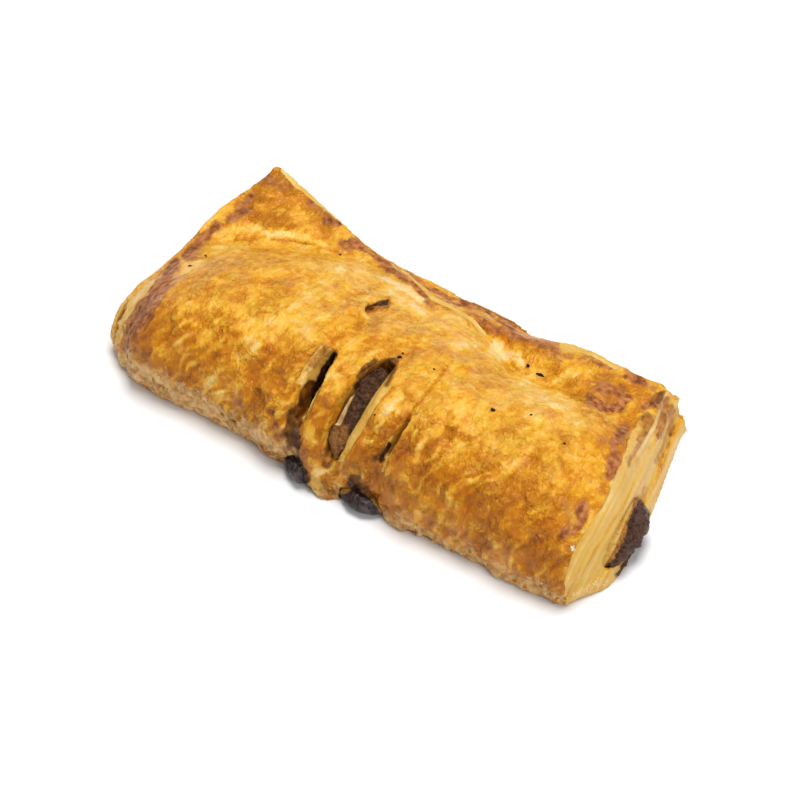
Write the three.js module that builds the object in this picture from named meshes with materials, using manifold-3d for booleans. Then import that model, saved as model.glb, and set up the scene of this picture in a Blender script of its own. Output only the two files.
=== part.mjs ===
// A baked parcel of puff pastry, folded over a tomato filling.
// The fold is the round front side, the sealed edge the back, and the right end is cut and open.
// Three slits cross the fold and show the filling, which has burst out at the base and at the cut end.
// Millimetres, +X along the parcel, +Y towards the sealed edge, +Z up, standing on z = 0.

import * as THREE from "three";
import { mergeVertices } from "three/addons/utils/BufferGeometryUtils.js";
import Module from "manifold-3d";

// Ends of the parcel: places of their top edges, and how their walls lean and round
const LEFT_END = { x: -71, flare: 0.2, bow: 1.2, bowY: -14, bowWidth: 14 };
const LEFT_BACK_CORNER = { inset: 3.8, from: 14, length: 24 };
const RIGHT_END = { x: 65.5, skew: 9.5, skewFrom: -18, skewLength: 44, skewPower: 1.15 };
const CUT_FACE = { slant: 7, slantAtSeal: 6.2, sealLength: 24, power: 0.7 };
const RIGHT_FRONT_CORNER = { round: 5.4, from: -23, length: 12 };

// Fold along the front: its widest line, its foot, its corners, and the strip that stands out between slits
const FOLD = { y: -35.2, radius: 21, widestZ: 7.5 };
const FOOT_TUCK = { left: 2.2, right: 0.8, from: -45, length: 60 };
const FOLD_LEFT = { round: 7, from: -57, length: 15, lowShare: 0.5, lowLength: 18, radiusShare: 0.55 };
const FOLD_RIGHT = { round: 1.2, from: 57, length: 12 };
const STRIP = { x: -4, width: 3.8, bulge: 1.7, footX: 1.9, footWidth: 3.5, footReach: 6 };

// Height of the top along the parcel
const CROWN = { z: 26.6, leftZ: 11, leftRise: 29, rightZ: 18.5, rightRise: 26 };
const WAIST = { x: 4, width: 12, dip: 0.9 };

// Sealed rim behind the crease, with the corner flap at its left and a torn crack towards its right
const SEAL = { y: 25.6, rimWidth: 4.6, rimZ: 12.6, creaseZ: 13.2 };
const FLAP = { reach: 11.6, reachFrom: -14, reachLength: 51, reachPower: 1.2 };
const FLAP_WIDTH = { width: 27, from: -26, length: 42, power: 1.15 };
const FLAP_CURL = { lift: 3.6, from: -34, length: 30, creaseDrop: 1.4, dropFrom: -50, dropLength: 20 };
const RIGHT_RIM = { reach: 3, from: 20, length: 14, width: 11.5, widthFrom: 2, widthLength: 30 };
const RIGHT_RIM_LIFT = { edge: 0.8, edgeFrom: 10, edgeLength: 30, crease: 1.8, creaseFrom: 32, creaseLength: 14 };
const RIM_RIDGE = { height: 1.6, x: 20, width: 15 };
const CRACK = { depth: 1.3, x: 25, width: 11, share: 0.2 };
const PINCH = { depth: 2.5, x: -4, width: 10, creaseShare: 0.7 };
const UNDER_SHEET = { step: 6.8, leastShare: 0.3, x: -5, width: 20, topShare: 0.88, edgeShare: 0.25 };

// Skin relief and flaky layers
const RIPPLE = { broad: 0.25, fine: 0.34 };
const LIPS = [
  { x: -16, width: 4.5, height: 0.9 },
  { x: -4.4, width: 2.6, height: 0.9 },
  { x: 11.6, width: 2.6, height: 0.5 },
  { x: 21, width: 5, height: 1.3 },
];
const SLIT_DIP = { depth: 0.8, width: 2.4, fadeFrom: 8, fadeLength: 16 };
const BLISTER = { x: 46, y: 15.5, radius: 4.2, height: 1.1 };
const LAYERS = { relief: 0.42, unevenness: 0.3, waves: 0.4, seamDepth: 1.1, seamAt: 0.4, seamWidth: 0.09 };

// Grid of the skin: along the parcel, across it and up its walls, with the shares of fold and body
const ALONG = 58;
const ACROSS = 28;
const WALL_ROWS = 9;
const FOLD_SHARE = 0.36;
const BODY_SHARE = 0.78;
const BODY_FALL = 1.7;

// Filling: a long rounded core, with a clear gap to the pastry all round
const CORE = { x: 3, y: -10, z: 12, halfLength: 60, halfWidth: 18.2, halfHeight: 7, fullness: 2.6 };
const CORE_SINK = { drop: 0.5, thin: 0.15 };
const CLEARANCE = 0.32;
const FLOOR_GAP = 0.12;

// Slits, from their upper end on the top to their foot on the fold: half widths at the mouth and below it,
// the depth where they are narrow, how far they lean there, and how deep the filling lies at the top and the foot
const SLIT_DEPTH = 10.5;
const SLIT_OVERSHOOT = 5;
const SLIT_STEPS = 13;
const SLIT_ROWS = 3;
const SLIT_TAPER = { from: 0.08, length: 0.85, power: 0.75, thinnest: 0.15 };
const TONGUE_START = 0.1;
const TONGUE_NECK = 0.4;
const SLITS = [
  {
    topX: -10.4, topY: -16.2, footX: -9.1, footZ: 15.5,
    mouth: 2.4, root: 1.6, rootDepth: 3, lean: 0.8, tongue: [-7, -4.5],
  },
  {
    topX: 3.2, topY: -11.3, footX: 2, footZ: 9.8,
    mouth: 4.2, root: 2.85, rootDepth: 1.8, lean: -0.85, tongue: [-2.6, -1.1],
  },
  {
    topX: 16.8, topY: -22, footX: 14.4, footZ: 15,
    mouth: 0.95, root: 0.8, rootDepth: 2, lean: 0.3, tongue: [-5.5, -3.5],
  },
];
const TORN_HOLE = { x: -12, y: 4, turn: -0.31, radius: [1.35, 3.7, 3.4] };

// Burst filling: rounded lumps given by centre and half sizes, at the foot of the slits and at the cut end,
// each with a thinner lump behind it that leads to the core
const LUMPS = [
  { at: [-6.6, -34.2, 2.4], half: [4.8, 4.6, 3.2] },
  { at: [-6.6, -29.4, 6], half: [2.8, 4.4, 5] },
  { at: [10.6, -33.8, 2.2], half: [6.6, 4.3, 2.9] },
  { at: [10.6, -29.4, 6], half: [3, 4.4, 5] },
  { at: [66, -12, 5], half: [7.1, 11.8, 5.4] },
  { at: [59.5, -12, 8.5], half: [8, 8, 4.6] },
];

// Baked colours
const CRUST = { colour: 0xd8932f, roughness: 0.55 };
const FILLING = { colour: 0x3a1a14, roughness: 0.4 };

const WELD = 1e-4;
const SHARE_STEP = 0.005;
const TANGENT_STEP = 0.03;

const clamp01 = (t) => Math.min(1, Math.max(0, t));
const mix = (from, to, t) => from + (to - from) * t;
const ease = (t) => clamp01(t) ** 2 * (3 - 2 * clamp01(t));
const rampUp = (value, from, length) => ease((value - from) / length);
const rampDown = (value, from, length) => ease((from - value) / length);
const rise = (t, power) => clamp01(t) ** power;
const bell = (t, centre, width) => Math.exp(-(((t - centre) / width) ** 2));

/** Height of the parcel's top along its length, lower towards both ends and at the waist. */
function crownZ(x) {
  const leftFall = (1 - clamp01((x - LEFT_END.x) / CROWN.leftRise)) ** 2;
  const rightFall = (1 - clamp01((RIGHT_END.x - x) / CROWN.rightRise)) ** 2;
  const ends = (CROWN.z - CROWN.leftZ) * leftFall + (CROWN.z - CROWN.rightZ) * rightFall;
  return CROWN.z - ends - WAIST.dip * bell(x, WAIST.x, WAIST.width);
}

/** Widest line of the fold, rounded in at both corners and pushed out by the strip between the slits. */
function foldY(x) {
  const left = FOLD_LEFT.round * rampDown(x, FOLD_LEFT.from, FOLD_LEFT.length);
  const right = FOLD_RIGHT.round * rampUp(x, FOLD_RIGHT.from, FOLD_RIGHT.length);
  return FOLD.y + left + right - STRIP.bulge * bell(x, STRIP.x, STRIP.width);
}

/** Top edge of the sealed rim, drawn far back at the left corner flap and pinched in near the middle. */
function sealY(x) {
  const flap = FLAP.reach * rise((FLAP.reachFrom - x) / FLAP.reachLength, FLAP.reachPower);
  const right = RIGHT_RIM.reach * rampUp(x, RIGHT_RIM.from, RIGHT_RIM.length);
  return SEAL.y + flap + right - PINCH.depth * bell(x, PINCH.x, PINCH.width);
}

/** Line where the puffed body meets the flat rim. */
function creaseY(x) {
  const flap = FLAP_WIDTH.width * rise((FLAP_WIDTH.from - x) / FLAP_WIDTH.length, FLAP_WIDTH.power);
  const right = RIGHT_RIM.width * rampUp(x, RIGHT_RIM.widthFrom, RIGHT_RIM.widthLength);
  const pinch = PINCH.creaseShare * PINCH.depth * bell(x, PINCH.x, PINCH.width);
  return sealY(x) - SEAL.rimWidth - flap - right + pinch;
}

/** Uneven swelling of the baked skin: two broad waves and a finer one. */
function ripple(x, y) {
  const broad = Math.sin(0.16 * x + 0.09 * y + 0.7) + Math.sin(0.21 * y - 0.13 * x + 2.1);
  const fine = Math.sin(0.47 * x + 0.35 * y) * Math.sin(0.41 * y - 0.29 * x + 1.2);
  return RIPPLE.broad * broad + RIPPLE.fine * fine;
}

/** Place along the length of a slit's line at a distance across the parcel. */
function slitX(slit, y) {
  return mix(slit.footX, slit.topX, (y - FOLD.y) / (slit.topY - FOLD.y));
}

/** Swelling of the lips and strips beside the slits, and the dip along each slit's line. */
function slitSwell(x, y) {
  const lips = LIPS.reduce((sum, lip) => sum + lip.height * bell(x, lip.x, lip.width), 0);
  const dips = SLITS.reduce((sum, slit) => sum + SLIT_DIP.depth * bell(x, slitX(slit, y), SLIT_DIP.width), 0);
  return (lips - dips) * rampDown(y, SLIT_DIP.fadeFrom, SLIT_DIP.fadeLength);
}

/** Height of the crease: lower under the corner flap, higher towards the right end. */
function creaseZ(x) {
  const drop = FLAP_CURL.creaseDrop * rampDown(x, FLAP_CURL.dropFrom, FLAP_CURL.dropLength);
  const lift = RIGHT_RIM_LIFT.crease * rampUp(x, RIGHT_RIM_LIFT.creaseFrom, RIGHT_RIM_LIFT.creaseLength);
  return SEAL.creaseZ - drop + lift;
}

/** Height of the rim's edge, curled up at the corner flap. */
function rimZ(x) {
  const curl = FLAP_CURL.lift * rampDown(x, FLAP_CURL.from, FLAP_CURL.length);
  const right = RIGHT_RIM_LIFT.edge * rampUp(x, RIGHT_RIM_LIFT.edgeFrom, RIGHT_RIM_LIFT.edgeLength);
  return SEAL.rimZ + curl + right;
}

/** Cross-section of the parcel at x: b runs from the fold's widest line over the top to the seal. */
function section(x, b) {
  const top = crownZ(x);
  const radius = FOLD.radius * mix(FOLD_LEFT.radiusShare, 1, rampUp(x, LEFT_END.x, CROWN.leftRise));
  const crownY = foldY(x) + radius;
  if (b <= FOLD_SHARE) {
    const turn = (b / FOLD_SHARE) * Math.PI / 2;
    const low = FOLD.widestZ * mix(FOLD_LEFT.lowShare, 1, rampUp(x, LEFT_END.x, FOLD_LEFT.lowLength));
    return { y: mix(crownY, foldY(x), Math.cos(turn)), z: mix(low, top, Math.sin(turn)) };
  }
  if (b <= BODY_SHARE) {
    const t = (b - FOLD_SHARE) / (BODY_SHARE - FOLD_SHARE);
    return { y: mix(crownY, creaseY(x), t), z: mix(top, creaseZ(x), t ** BODY_FALL) };
  }
  const t = (b - BODY_SHARE) / (1 - BODY_SHARE);
  const ridge = RIM_RIDGE.height * Math.sin(Math.PI * t) * bell(x, RIM_RIDGE.x, RIM_RIDGE.width);
  const crack = CRACK.depth * bell(x, CRACK.x, CRACK.width) * bell(t, 0, CRACK.share);
  return { y: mix(creaseY(x), sealY(x), t), z: mix(creaseZ(x), rimZ(x), t) + ridge - crack };
}

/** The section with the swelling of the skin added, outwards on the fold and upwards elsewhere. */
function swollen(x, b) {
  const { y, z } = section(x, b);
  const blister = BLISTER.height * bell(Math.hypot(x - BLISTER.x, y - BLISTER.y), 0, BLISTER.radius);
  const swell = ripple(x, y) + slitSwell(x, y) + blister;
  const outY = b < FOLD_SHARE ? -Math.cos((b / FOLD_SHARE) * Math.PI / 2) : 0;
  return { y: y + swell * outY, z: z + swell * Math.sqrt(1 - outY * outY) };
}

/** In-and-out steps of the flaky layers up a cut wall, with a deeper groove between the two sheets. */
function layers(c, along) {
  const uneven = 1 - LAYERS.unevenness * (1 + Math.sin(LAYERS.waves * along)) / 2;
  const steps = LAYERS.relief * uneven * Math.cos(Math.PI * c * WALL_ROWS) * Math.sin(Math.PI * c);
  return steps - LAYERS.seamDepth * bell(c, LAYERS.seamAt, LAYERS.seamWidth);
}

/** The left end at a height share c. */
function leftEndX(y, c) {
  const corner = LEFT_BACK_CORNER.inset * rampUp(y, LEFT_BACK_CORNER.from, LEFT_BACK_CORNER.length);
  const bow = LEFT_END.bow * bell(y, LEFT_END.bowY, LEFT_END.bowWidth);
  return LEFT_END.x - LEFT_END.flare * (1 - c) + corner - bow - layers(c, y);
}

/** The cut right end at a height share c, skewed towards the seal and slanting outwards to its foot. */
function rightEndX(y, c) {
  const skew = RIGHT_END.skew * rise((y - RIGHT_END.skewFrom) / RIGHT_END.skewLength, RIGHT_END.skewPower);
  const corner = RIGHT_FRONT_CORNER.round * rampDown(y, RIGHT_FRONT_CORNER.from, RIGHT_FRONT_CORNER.length);
  const slant = mix(CUT_FACE.slant, CUT_FACE.slantAtSeal, rampUp(y, 0, CUT_FACE.sealLength));
  return RIGHT_END.x - skew + slant * (1 - c) ** CUT_FACE.power - corner * (1 - c) + layers(c, y);
}

/** Lower part of the fold, tucked in at its foot, with the strip's end run out on the base. */
function footY(x, c) {
  const tuck = mix(FOOT_TUCK.left, FOOT_TUCK.right, rampUp(x, FOOT_TUCK.from, FOOT_TUCK.length));
  const runOut = STRIP.footReach * (1 - c) * bell(x, STRIP.footX, STRIP.footWidth);
  return swollen(x, 0).y + tuck * (1 - Math.sqrt(1 - (1 - c) ** 2)) - runOut;
}

/** Back wall, where the under sheet stands out beyond the top sheet. */
function backY(x, c) {
  const reach = mix(UNDER_SHEET.leastShare, 1, bell(x, UNDER_SHEET.x, UNDER_SHEET.width));
  const step = UNDER_SHEET.step * reach * rampDown(c, UNDER_SHEET.topShare, UNDER_SHEET.edgeShare);
  return swollen(x, 1).y + step + layers(c, x);
}

/** A point of the skin: a along the length, b from fold to seal, c from the base to the top. */
function skinPoint(a, b, c) {
  const guess = section(mix(LEFT_END.x, RIGHT_END.x, a), b);
  const x = mix(leftEndX(guess.y, c), rightEndX(guess.y, c), a);
  const top = swollen(x, b);
  if (c === 1) {
    return new THREE.Vector3(x, top.y, top.z);
  }
  const frontY = swollen(x, 0).y;
  const across = (top.y - frontY) / (swollen(x, 1).y - frontY);
  return new THREE.Vector3(x, mix(footY(x, c), backY(x, c), across), top.z * c);
}

/** Shares a and b round the skin's outline, anticlockwise from the left end of the fold. */
function outline() {
  const steps = (count, place) => Array.from({ length: count }, (_, i) => place(i / count));
  return [
    ...steps(ALONG, (t) => [t, 0]),
    ...steps(ACROSS, (t) => [1, t]),
    ...steps(ALONG, (t) => [1 - t, 1]),
    ...steps(ACROSS, (t) => [0, 1 - t]),
  ];
}

/** The closed outer form of the parcel: a top sheet, a wall round it and a flat base. */
function parcelGeometry() {
  const points = [];
  const index = [];
  for (let j = 0; j <= ACROSS; j += 1) {
    for (let i = 0; i <= ALONG; i += 1) {
      points.push(skinPoint(i / ALONG, j / ACROSS, 1));
    }
  }
  const topIndex = (i, j) => j * (ALONG + 1) + i;
  for (let j = 0; j < ACROSS; j += 1) {
    for (let i = 0; i < ALONG; i += 1) {
      const corners = [topIndex(i, j), topIndex(i + 1, j), topIndex(i + 1, j + 1), topIndex(i, j + 1)];
      index.push(corners[0], corners[1], corners[2], corners[0], corners[2], corners[3]);
    }
  }

  const round = outline();
  let above = round.map(([a, b]) => topIndex(Math.round(a * ALONG), Math.round(b * ACROSS)));
  for (let row = WALL_ROWS - 1; row >= 0; row -= 1) {
    const first = points.length;
    round.forEach(([a, b]) => points.push(skinPoint(a, b, row / WALL_ROWS)));
    const below = round.map((_, k) => first + k);
    round.forEach((_, k) => {
      const next = (k + 1) % round.length;
      index.push(below[k], below[next], above[next], below[k], above[next], above[k]);
    });
    above = below;
  }
  const foot = above.map((k) => new THREE.Vector2(points[k].x, points[k].y));
  THREE.ShapeUtils.triangulateShape(foot, []).forEach(([p, q, r]) => index.push(above[p], above[r], above[q]));

  const geometry = new THREE.BufferGeometry().setFromPoints(points);
  geometry.setIndex(index);
  return geometry;
}

/** The filling's core, or the hollow that holds it when grown by the clearance. */
function coreGeometry(grow) {
  const geometry = new THREE.SphereGeometry(1, 26, 12);
  const position = geometry.getAttribute("position");
  const unit = new THREE.Vector3();
  for (let k = 0; k < position.count; k += 1) {
    unit.fromBufferAttribute(position, k);
    const powers = unit.toArray().reduce((sum, side) => sum + Math.abs(side) ** CORE.fullness, 0);
    unit.multiplyScalar(powers ** (-1 / CORE.fullness));
    const x = CORE.x + unit.x * (CORE.halfLength + grow);
    const fall = CROWN.z - crownZ(x);
    const halfHeight = CORE.halfHeight + grow - CORE_SINK.thin * fall;
    const z = CORE.z - CORE_SINK.drop * fall + unit.z * halfHeight;
    position.setXYZ(k, x, CORE.y + unit.y * (CORE.halfWidth + grow), z);
  }
  return geometry;
}

/** Share of the section at x, counted from the fold, where its point first meets a test. */
function shareWhere(x, test) {
  let share = 0;
  while (!test(section(x, share))) {
    share += SHARE_STEP;
  }
  return share;
}

/** A point on a slit's line: t runs from its upper end on the top to its foot on the fold. */
function slitPoint(slit, t) {
  const upper = shareWhere(slit.topX, ({ y }) => y >= slit.topY);
  const lower = shareWhere(slit.footX, ({ z }) => z >= slit.footZ);
  const b = mix(upper, lower, t);
  const x = slitX(slit, section(slit.footX, b).y);
  const { y, z } = section(x, b);
  return new THREE.Vector3(x, y, z);
}

/** Outward direction of the skin at a point of a slit's line. */
function slitOut(slit, t) {
  const ahead = slitPoint(slit, Math.min(1, t + TANGENT_STEP));
  const tangent = ahead.sub(slitPoint(slit, Math.max(0, t - TANGENT_STEP)));
  return new THREE.Vector3(0, tangent.z, -tangent.y).normalize();
}

/** A wedge along a slit, with rows at given depths from the skin, its sides drawn in by a clearance. */
function slitGeometry(slit, { shrink, start, depths }) {
  const geometry = new THREE.BoxGeometry(1, 1, 1, 1, SLIT_STEPS, SLIT_ROWS);
  const position = geometry.getAttribute("position");
  for (let k = 0; k < position.count; k += 1) {
    const side = 2 * position.getX(k);
    const t = mix(start, 1, 0.5 - position.getY(k));
    const depth = depths(t)[Math.round((0.5 - position.getZ(k)) * SLIT_ROWS)];
    const taper = Math.sin(Math.PI * (SLIT_TAPER.from + SLIT_TAPER.length * t)) ** SLIT_TAPER.power;
    const narrowing = clamp01(-depth / slit.rootDepth);
    const halfWidth = mix(slit.mouth, slit.root, narrowing) * taper - shrink;
    const point = slitPoint(slit, t).addScaledVector(slitOut(slit, t), depth);
    const middle = point.x + slit.lean * narrowing * taper;
    position.setXYZ(k, middle + side * Math.max(halfWidth, SLIT_TAPER.thinnest), point.y, point.z);
  }
  return geometry;
}

/** The gap that one slit opens in the crust. */
function cutGeometry(slit) {
  const depths = [SLIT_OVERSHOOT, 0, -slit.rootDepth, -SLIT_DEPTH];
  return slitGeometry(slit, { shrink: 0, start: 0, depths: () => depths });
}

/** The filling that lies in one slit, nearer to the skin towards the slit's foot. */
function tongueGeometry(slit) {
  const inner = CLEARANCE - SLIT_DEPTH;
  const depths = (t) => {
    const surface = mix(slit.tongue[0], slit.tongue[1], t);
    const neck = Math.min(surface - TONGUE_NECK, -slit.rootDepth);
    return [surface, neck, (neck + inner) / 2, inner];
  };
  return slitGeometry(slit, { shrink: CLEARANCE, start: TONGUE_START, depths });
}

/** A rounded lump of burst filling. */
function lumpGeometry(lump, grow) {
  const geometry = new THREE.SphereGeometry(1, 14, 8);
  geometry.scale(...lump.half.map((half) => half + grow));
  geometry.translate(...lump.at);
  return geometry;
}

/** The small torn hole in the top, in line with the first slit. */
function holeGeometry() {
  const geometry = new THREE.SphereGeometry(1, 12, 8);
  geometry.scale(...TORN_HOLE.radius);
  geometry.rotateZ(TORN_HOLE.turn);
  const share = shareWhere(TORN_HOLE.x, ({ y }) => y >= TORN_HOLE.y);
  geometry.translate(TORN_HOLE.x, TORN_HOLE.y, swollen(TORN_HOLE.x, share).z);
  return geometry;
}

const wasm = await Module();
wasm.setup();

/** A closed geometry as a solid that can be joined and cut. */
function solid(geometry) {
  geometry.deleteAttribute("normal");
  geometry.deleteAttribute("uv");
  const merged = mergeVertices(geometry, WELD);
  return new wasm.Manifold(new wasm.Mesh({
    numProp: 3,
    vertProperties: new Float32Array(merged.getAttribute("position").array),
    triVerts: new Uint32Array(merged.getIndex().array),
  }));
}

/** A named mesh from a solid, in its own baked colour. */
function piece(name, body, { colour, roughness }) {
  const { vertProperties, triVerts } = body.getMesh();
  const geometry = new THREE.BufferGeometry();
  geometry.setAttribute("position", new THREE.BufferAttribute(new Float32Array(vertProperties), 3));
  geometry.setIndex(new THREE.BufferAttribute(new Uint32Array(triVerts), 1));
  geometry.computeVertexNormals();
  const material = new THREE.MeshStandardMaterial({ color: colour, roughness, metalness: 0 });
  const mesh = new THREE.Mesh(geometry, material);
  mesh.name = name;
  return mesh;
}

/** The folded crust, hollowed for the filling and cut by the slits, the lumps and the torn hole. */
function buildCrust() {
  const cutters = [
    coreGeometry(CLEARANCE),
    ...SLITS.map(cutGeometry),
    ...LUMPS.map((lump) => lumpGeometry(lump, CLEARANCE)),
    holeGeometry(),
  ];
  return cutters.reduce((body, cutter) => body.subtract(solid(cutter)), solid(parcelGeometry()));
}

/** The filling: its core, the tongues that lie in the slits, and the lumps that burst out. */
function buildFilling() {
  const added = [...SLITS.map(tongueGeometry), ...LUMPS.map((lump) => lumpGeometry(lump, 0))];
  const body = added.reduce((sum, shape) => sum.add(solid(shape)), solid(coreGeometry(0)));
  const below = new THREE.BoxGeometry(200, 100, 20);
  below.translate(0, 0, FLOOR_GAP - 10);
  return body.subtract(solid(below));
}

const pastry = new THREE.Group();
pastry.add(piece("pastry_crust", buildCrust(), CRUST));
pastry.add(piece("tomato_filling", buildFilling(), FILLING));

// The origin is the middle of the parcel's footprint
const extent = new THREE.Box3().setFromObject(pastry);
pastry.position.set(-(extent.min.x + extent.max.x) / 2, -(extent.min.y + extent.max.y) / 2, -extent.min.z);

export default pastry;
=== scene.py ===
"""Looks of a tomato puff pastry: a folded parcel of flaky, browned dough over a dark filling."""

import logging
import math
from dataclasses import dataclass, field
from enum import Enum
from functools import partial

import bpy
import numpy as np
from mathutils import Matrix, Vector


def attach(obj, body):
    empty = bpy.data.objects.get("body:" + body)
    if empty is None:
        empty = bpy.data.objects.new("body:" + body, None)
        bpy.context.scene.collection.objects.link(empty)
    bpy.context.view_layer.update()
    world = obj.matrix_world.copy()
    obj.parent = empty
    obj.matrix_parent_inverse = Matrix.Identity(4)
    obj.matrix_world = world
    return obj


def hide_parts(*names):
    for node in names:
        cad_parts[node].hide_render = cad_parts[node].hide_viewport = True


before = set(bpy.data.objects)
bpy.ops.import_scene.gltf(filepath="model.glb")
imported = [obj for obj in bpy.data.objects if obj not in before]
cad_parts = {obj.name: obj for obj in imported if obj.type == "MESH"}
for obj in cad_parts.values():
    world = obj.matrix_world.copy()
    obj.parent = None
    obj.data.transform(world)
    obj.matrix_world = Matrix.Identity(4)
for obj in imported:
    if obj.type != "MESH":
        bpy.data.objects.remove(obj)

LOG = logging.getLogger("tomato_puff_pastry")
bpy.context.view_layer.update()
MM = 0.001

Array = np.ndarray
Piece = bpy.types.Object
Socket = bpy.types.NodeSocket
Triple = tuple[float, float, float]
Colour = tuple[float, float, float]
Pixel = tuple[float, float]
Spot = tuple[float, float]
Span = tuple[float, float]
Stops = tuple[tuple[float, Colour], ...]
Inputs = dict[str | int, object]

WHOLE: Span = (0.0, 1.0)
NOISE_MIDDLE = 0.5
# Which inputs and which output of a mix node hold colours.
MIX_INPUTS = (6, 7)
MIX_OUTPUT = 2
# Heights at which flakes end, half the width of that edge, and how fine the flakes are.
FLAKE_STEPS = (-0.4, -0.1, 0.2, 0.5)
FLAKE_EDGE = 0.06
FLAKE_OCTAVES = 4
# Least radius of a bubble and what chance adds to it, as parts of the distance between bubbles.
BUBBLE_RADIUS = 0.25
BUBBLE_RADIUS_MORE = 0.5
# Numbers that scramble a corner of a lattice into a fixed random value.
HASH_STEPS = (374761393, 668265263, 974711)
HASH_SEED_STEP = 69069
HASH_SPREAD = 1274126177
HASH_SHIFTS = (13, 16)
HASH_BITS = 0xFFFF
# How near points are merged, and how strongly each round smooths a mesh.
MERGE_MM = 0.002
SMOOTH_FACTOR = 0.5
# Half width in pixels from which a mark is soft, above that of the marks that have to stay crisp.
NEVER_SOFT = 20.0


def smooth_share(low: float, high: float, value: Array) -> Array:
    """Share from 0 to 1 that rises smoothly as a value goes from low to high."""
    share = np.clip((value - low) / (high - low), 0.0, 1.0)
    return share * share * (3.0 - 2.0 * share)


def corner_value(cell: Array, seed: int) -> Array:
    """Fixed random value from 0 to 1 at each corner of a lattice.

    Args:
        cell: Whole-number corners, one row each.
        seed: Picks one field of values out of many.

    Returns:
        One value for each corner.
    """
    mixed = cell @ np.array(HASH_STEPS) + seed * HASH_SEED_STEP
    mixed = (mixed ^ (mixed >> HASH_SHIFTS[0])) * HASH_SPREAD
    mixed = mixed ^ (mixed >> HASH_SHIFTS[1])
    return (mixed & HASH_BITS) / HASH_BITS


def dough_noise(points: Array, grain: float | Triple, seed: int, octaves: int = 1) -> Array:
    """Smooth random field, about -1 to 1, for the unevenness of dough.

    Args:
        points: Places in millimetres, one row each.
        grain: Width of one bump in millimetres, or its widths along x, y and z.
        seed: Picks one field out of many.
        octaves: How many finer fields are added, each half as wide and half as strong.

    Returns:
        One value for each point.
    """
    total = np.zeros(len(points))
    strength = 1.0
    scaled = points / np.array(grain)
    for octave in range(octaves):
        base = np.floor(scaled).astype(np.int64)
        part = scaled - base
        fade = part * part * (3.0 - 2.0 * part)
        field_value = np.zeros(len(points))
        for corner in np.ndindex(2, 2, 2):
            weight = np.prod(np.where(np.array(corner) == 1, fade, 1.0 - fade), axis=1)
            field_value += weight * corner_value(base + np.array(corner), seed + octave)
        total += strength * (2.0 * field_value - 1.0)
        strength *= 0.5
        scaled = scaled * 2.0
    return total


def flake_field(points: Array, grain: Triple, seed: int) -> Array:
    """Flakes that lie over one another in steps, from 0 where they came off to 1 on the uppermost.

    Args:
        points: Places in millimetres, one row each.
        grain: Width of one flake along x, y and z, in millimetres.
        seed: Picks one field out of many.

    Returns:
        One value for each point.
    """
    height = dough_noise(points, grain, seed, FLAKE_OCTAVES)
    shares = [smooth_share(step - FLAKE_EDGE, step + FLAKE_EDGE, height) for step in FLAKE_STEPS]
    return np.mean(shares, axis=0)


def bubble_field(points: Array, width: float, seed: int) -> Array:
    """Round bubbles of uneven size, highest at a bubble's middle and 0 outside it.

    Args:
        points: Places in millimetres, one row each.
        width: Usual distance between bubbles, in millimetres.
        seed: Picks one field out of many.

    Returns:
        One value for each point.
    """
    scaled = points / width
    base = np.floor(scaled).astype(np.int64)
    height = np.zeros(len(points))
    for corner in np.ndindex(3, 3, 3):
        cell = base + np.array(corner) - 1
        centre = np.stack([corner_value(cell, seed + axis) for axis in range(3)], axis=1) + cell
        radius = BUBBLE_RADIUS + BUBBLE_RADIUS_MORE * corner_value(cell, seed + 3)
        gap = np.linalg.norm(scaled - centre, axis=1) / radius
        height = np.maximum(height, np.clip(1.0 - gap * gap, 0.0, 1.0) * radius)
    return height


@dataclass(frozen=True)
class Grain:
    """One kind of unevenness: a bump's width in millimetres, its field, its finer fields and its strength."""

    width: float | Triple
    seed: int
    octaves: int = 1
    strength: float = 1.0

    def at(self, points: Array) -> Array:
        """Value at each point."""
        return self.strength * dough_noise(points, self.width, self.seed, self.octaves)


def columns(grains: tuple[Grain, ...], points: Array) -> Array:
    """Values of several grains side by side, one row for each point."""
    return np.stack([grain.at(points) for grain in grains], axis=1)


def with_front(pair: Span, front: Array) -> Array:
    """Strength on the whole skin, and what the front adds to it."""
    return pair[0] + pair[1] * front


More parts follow.
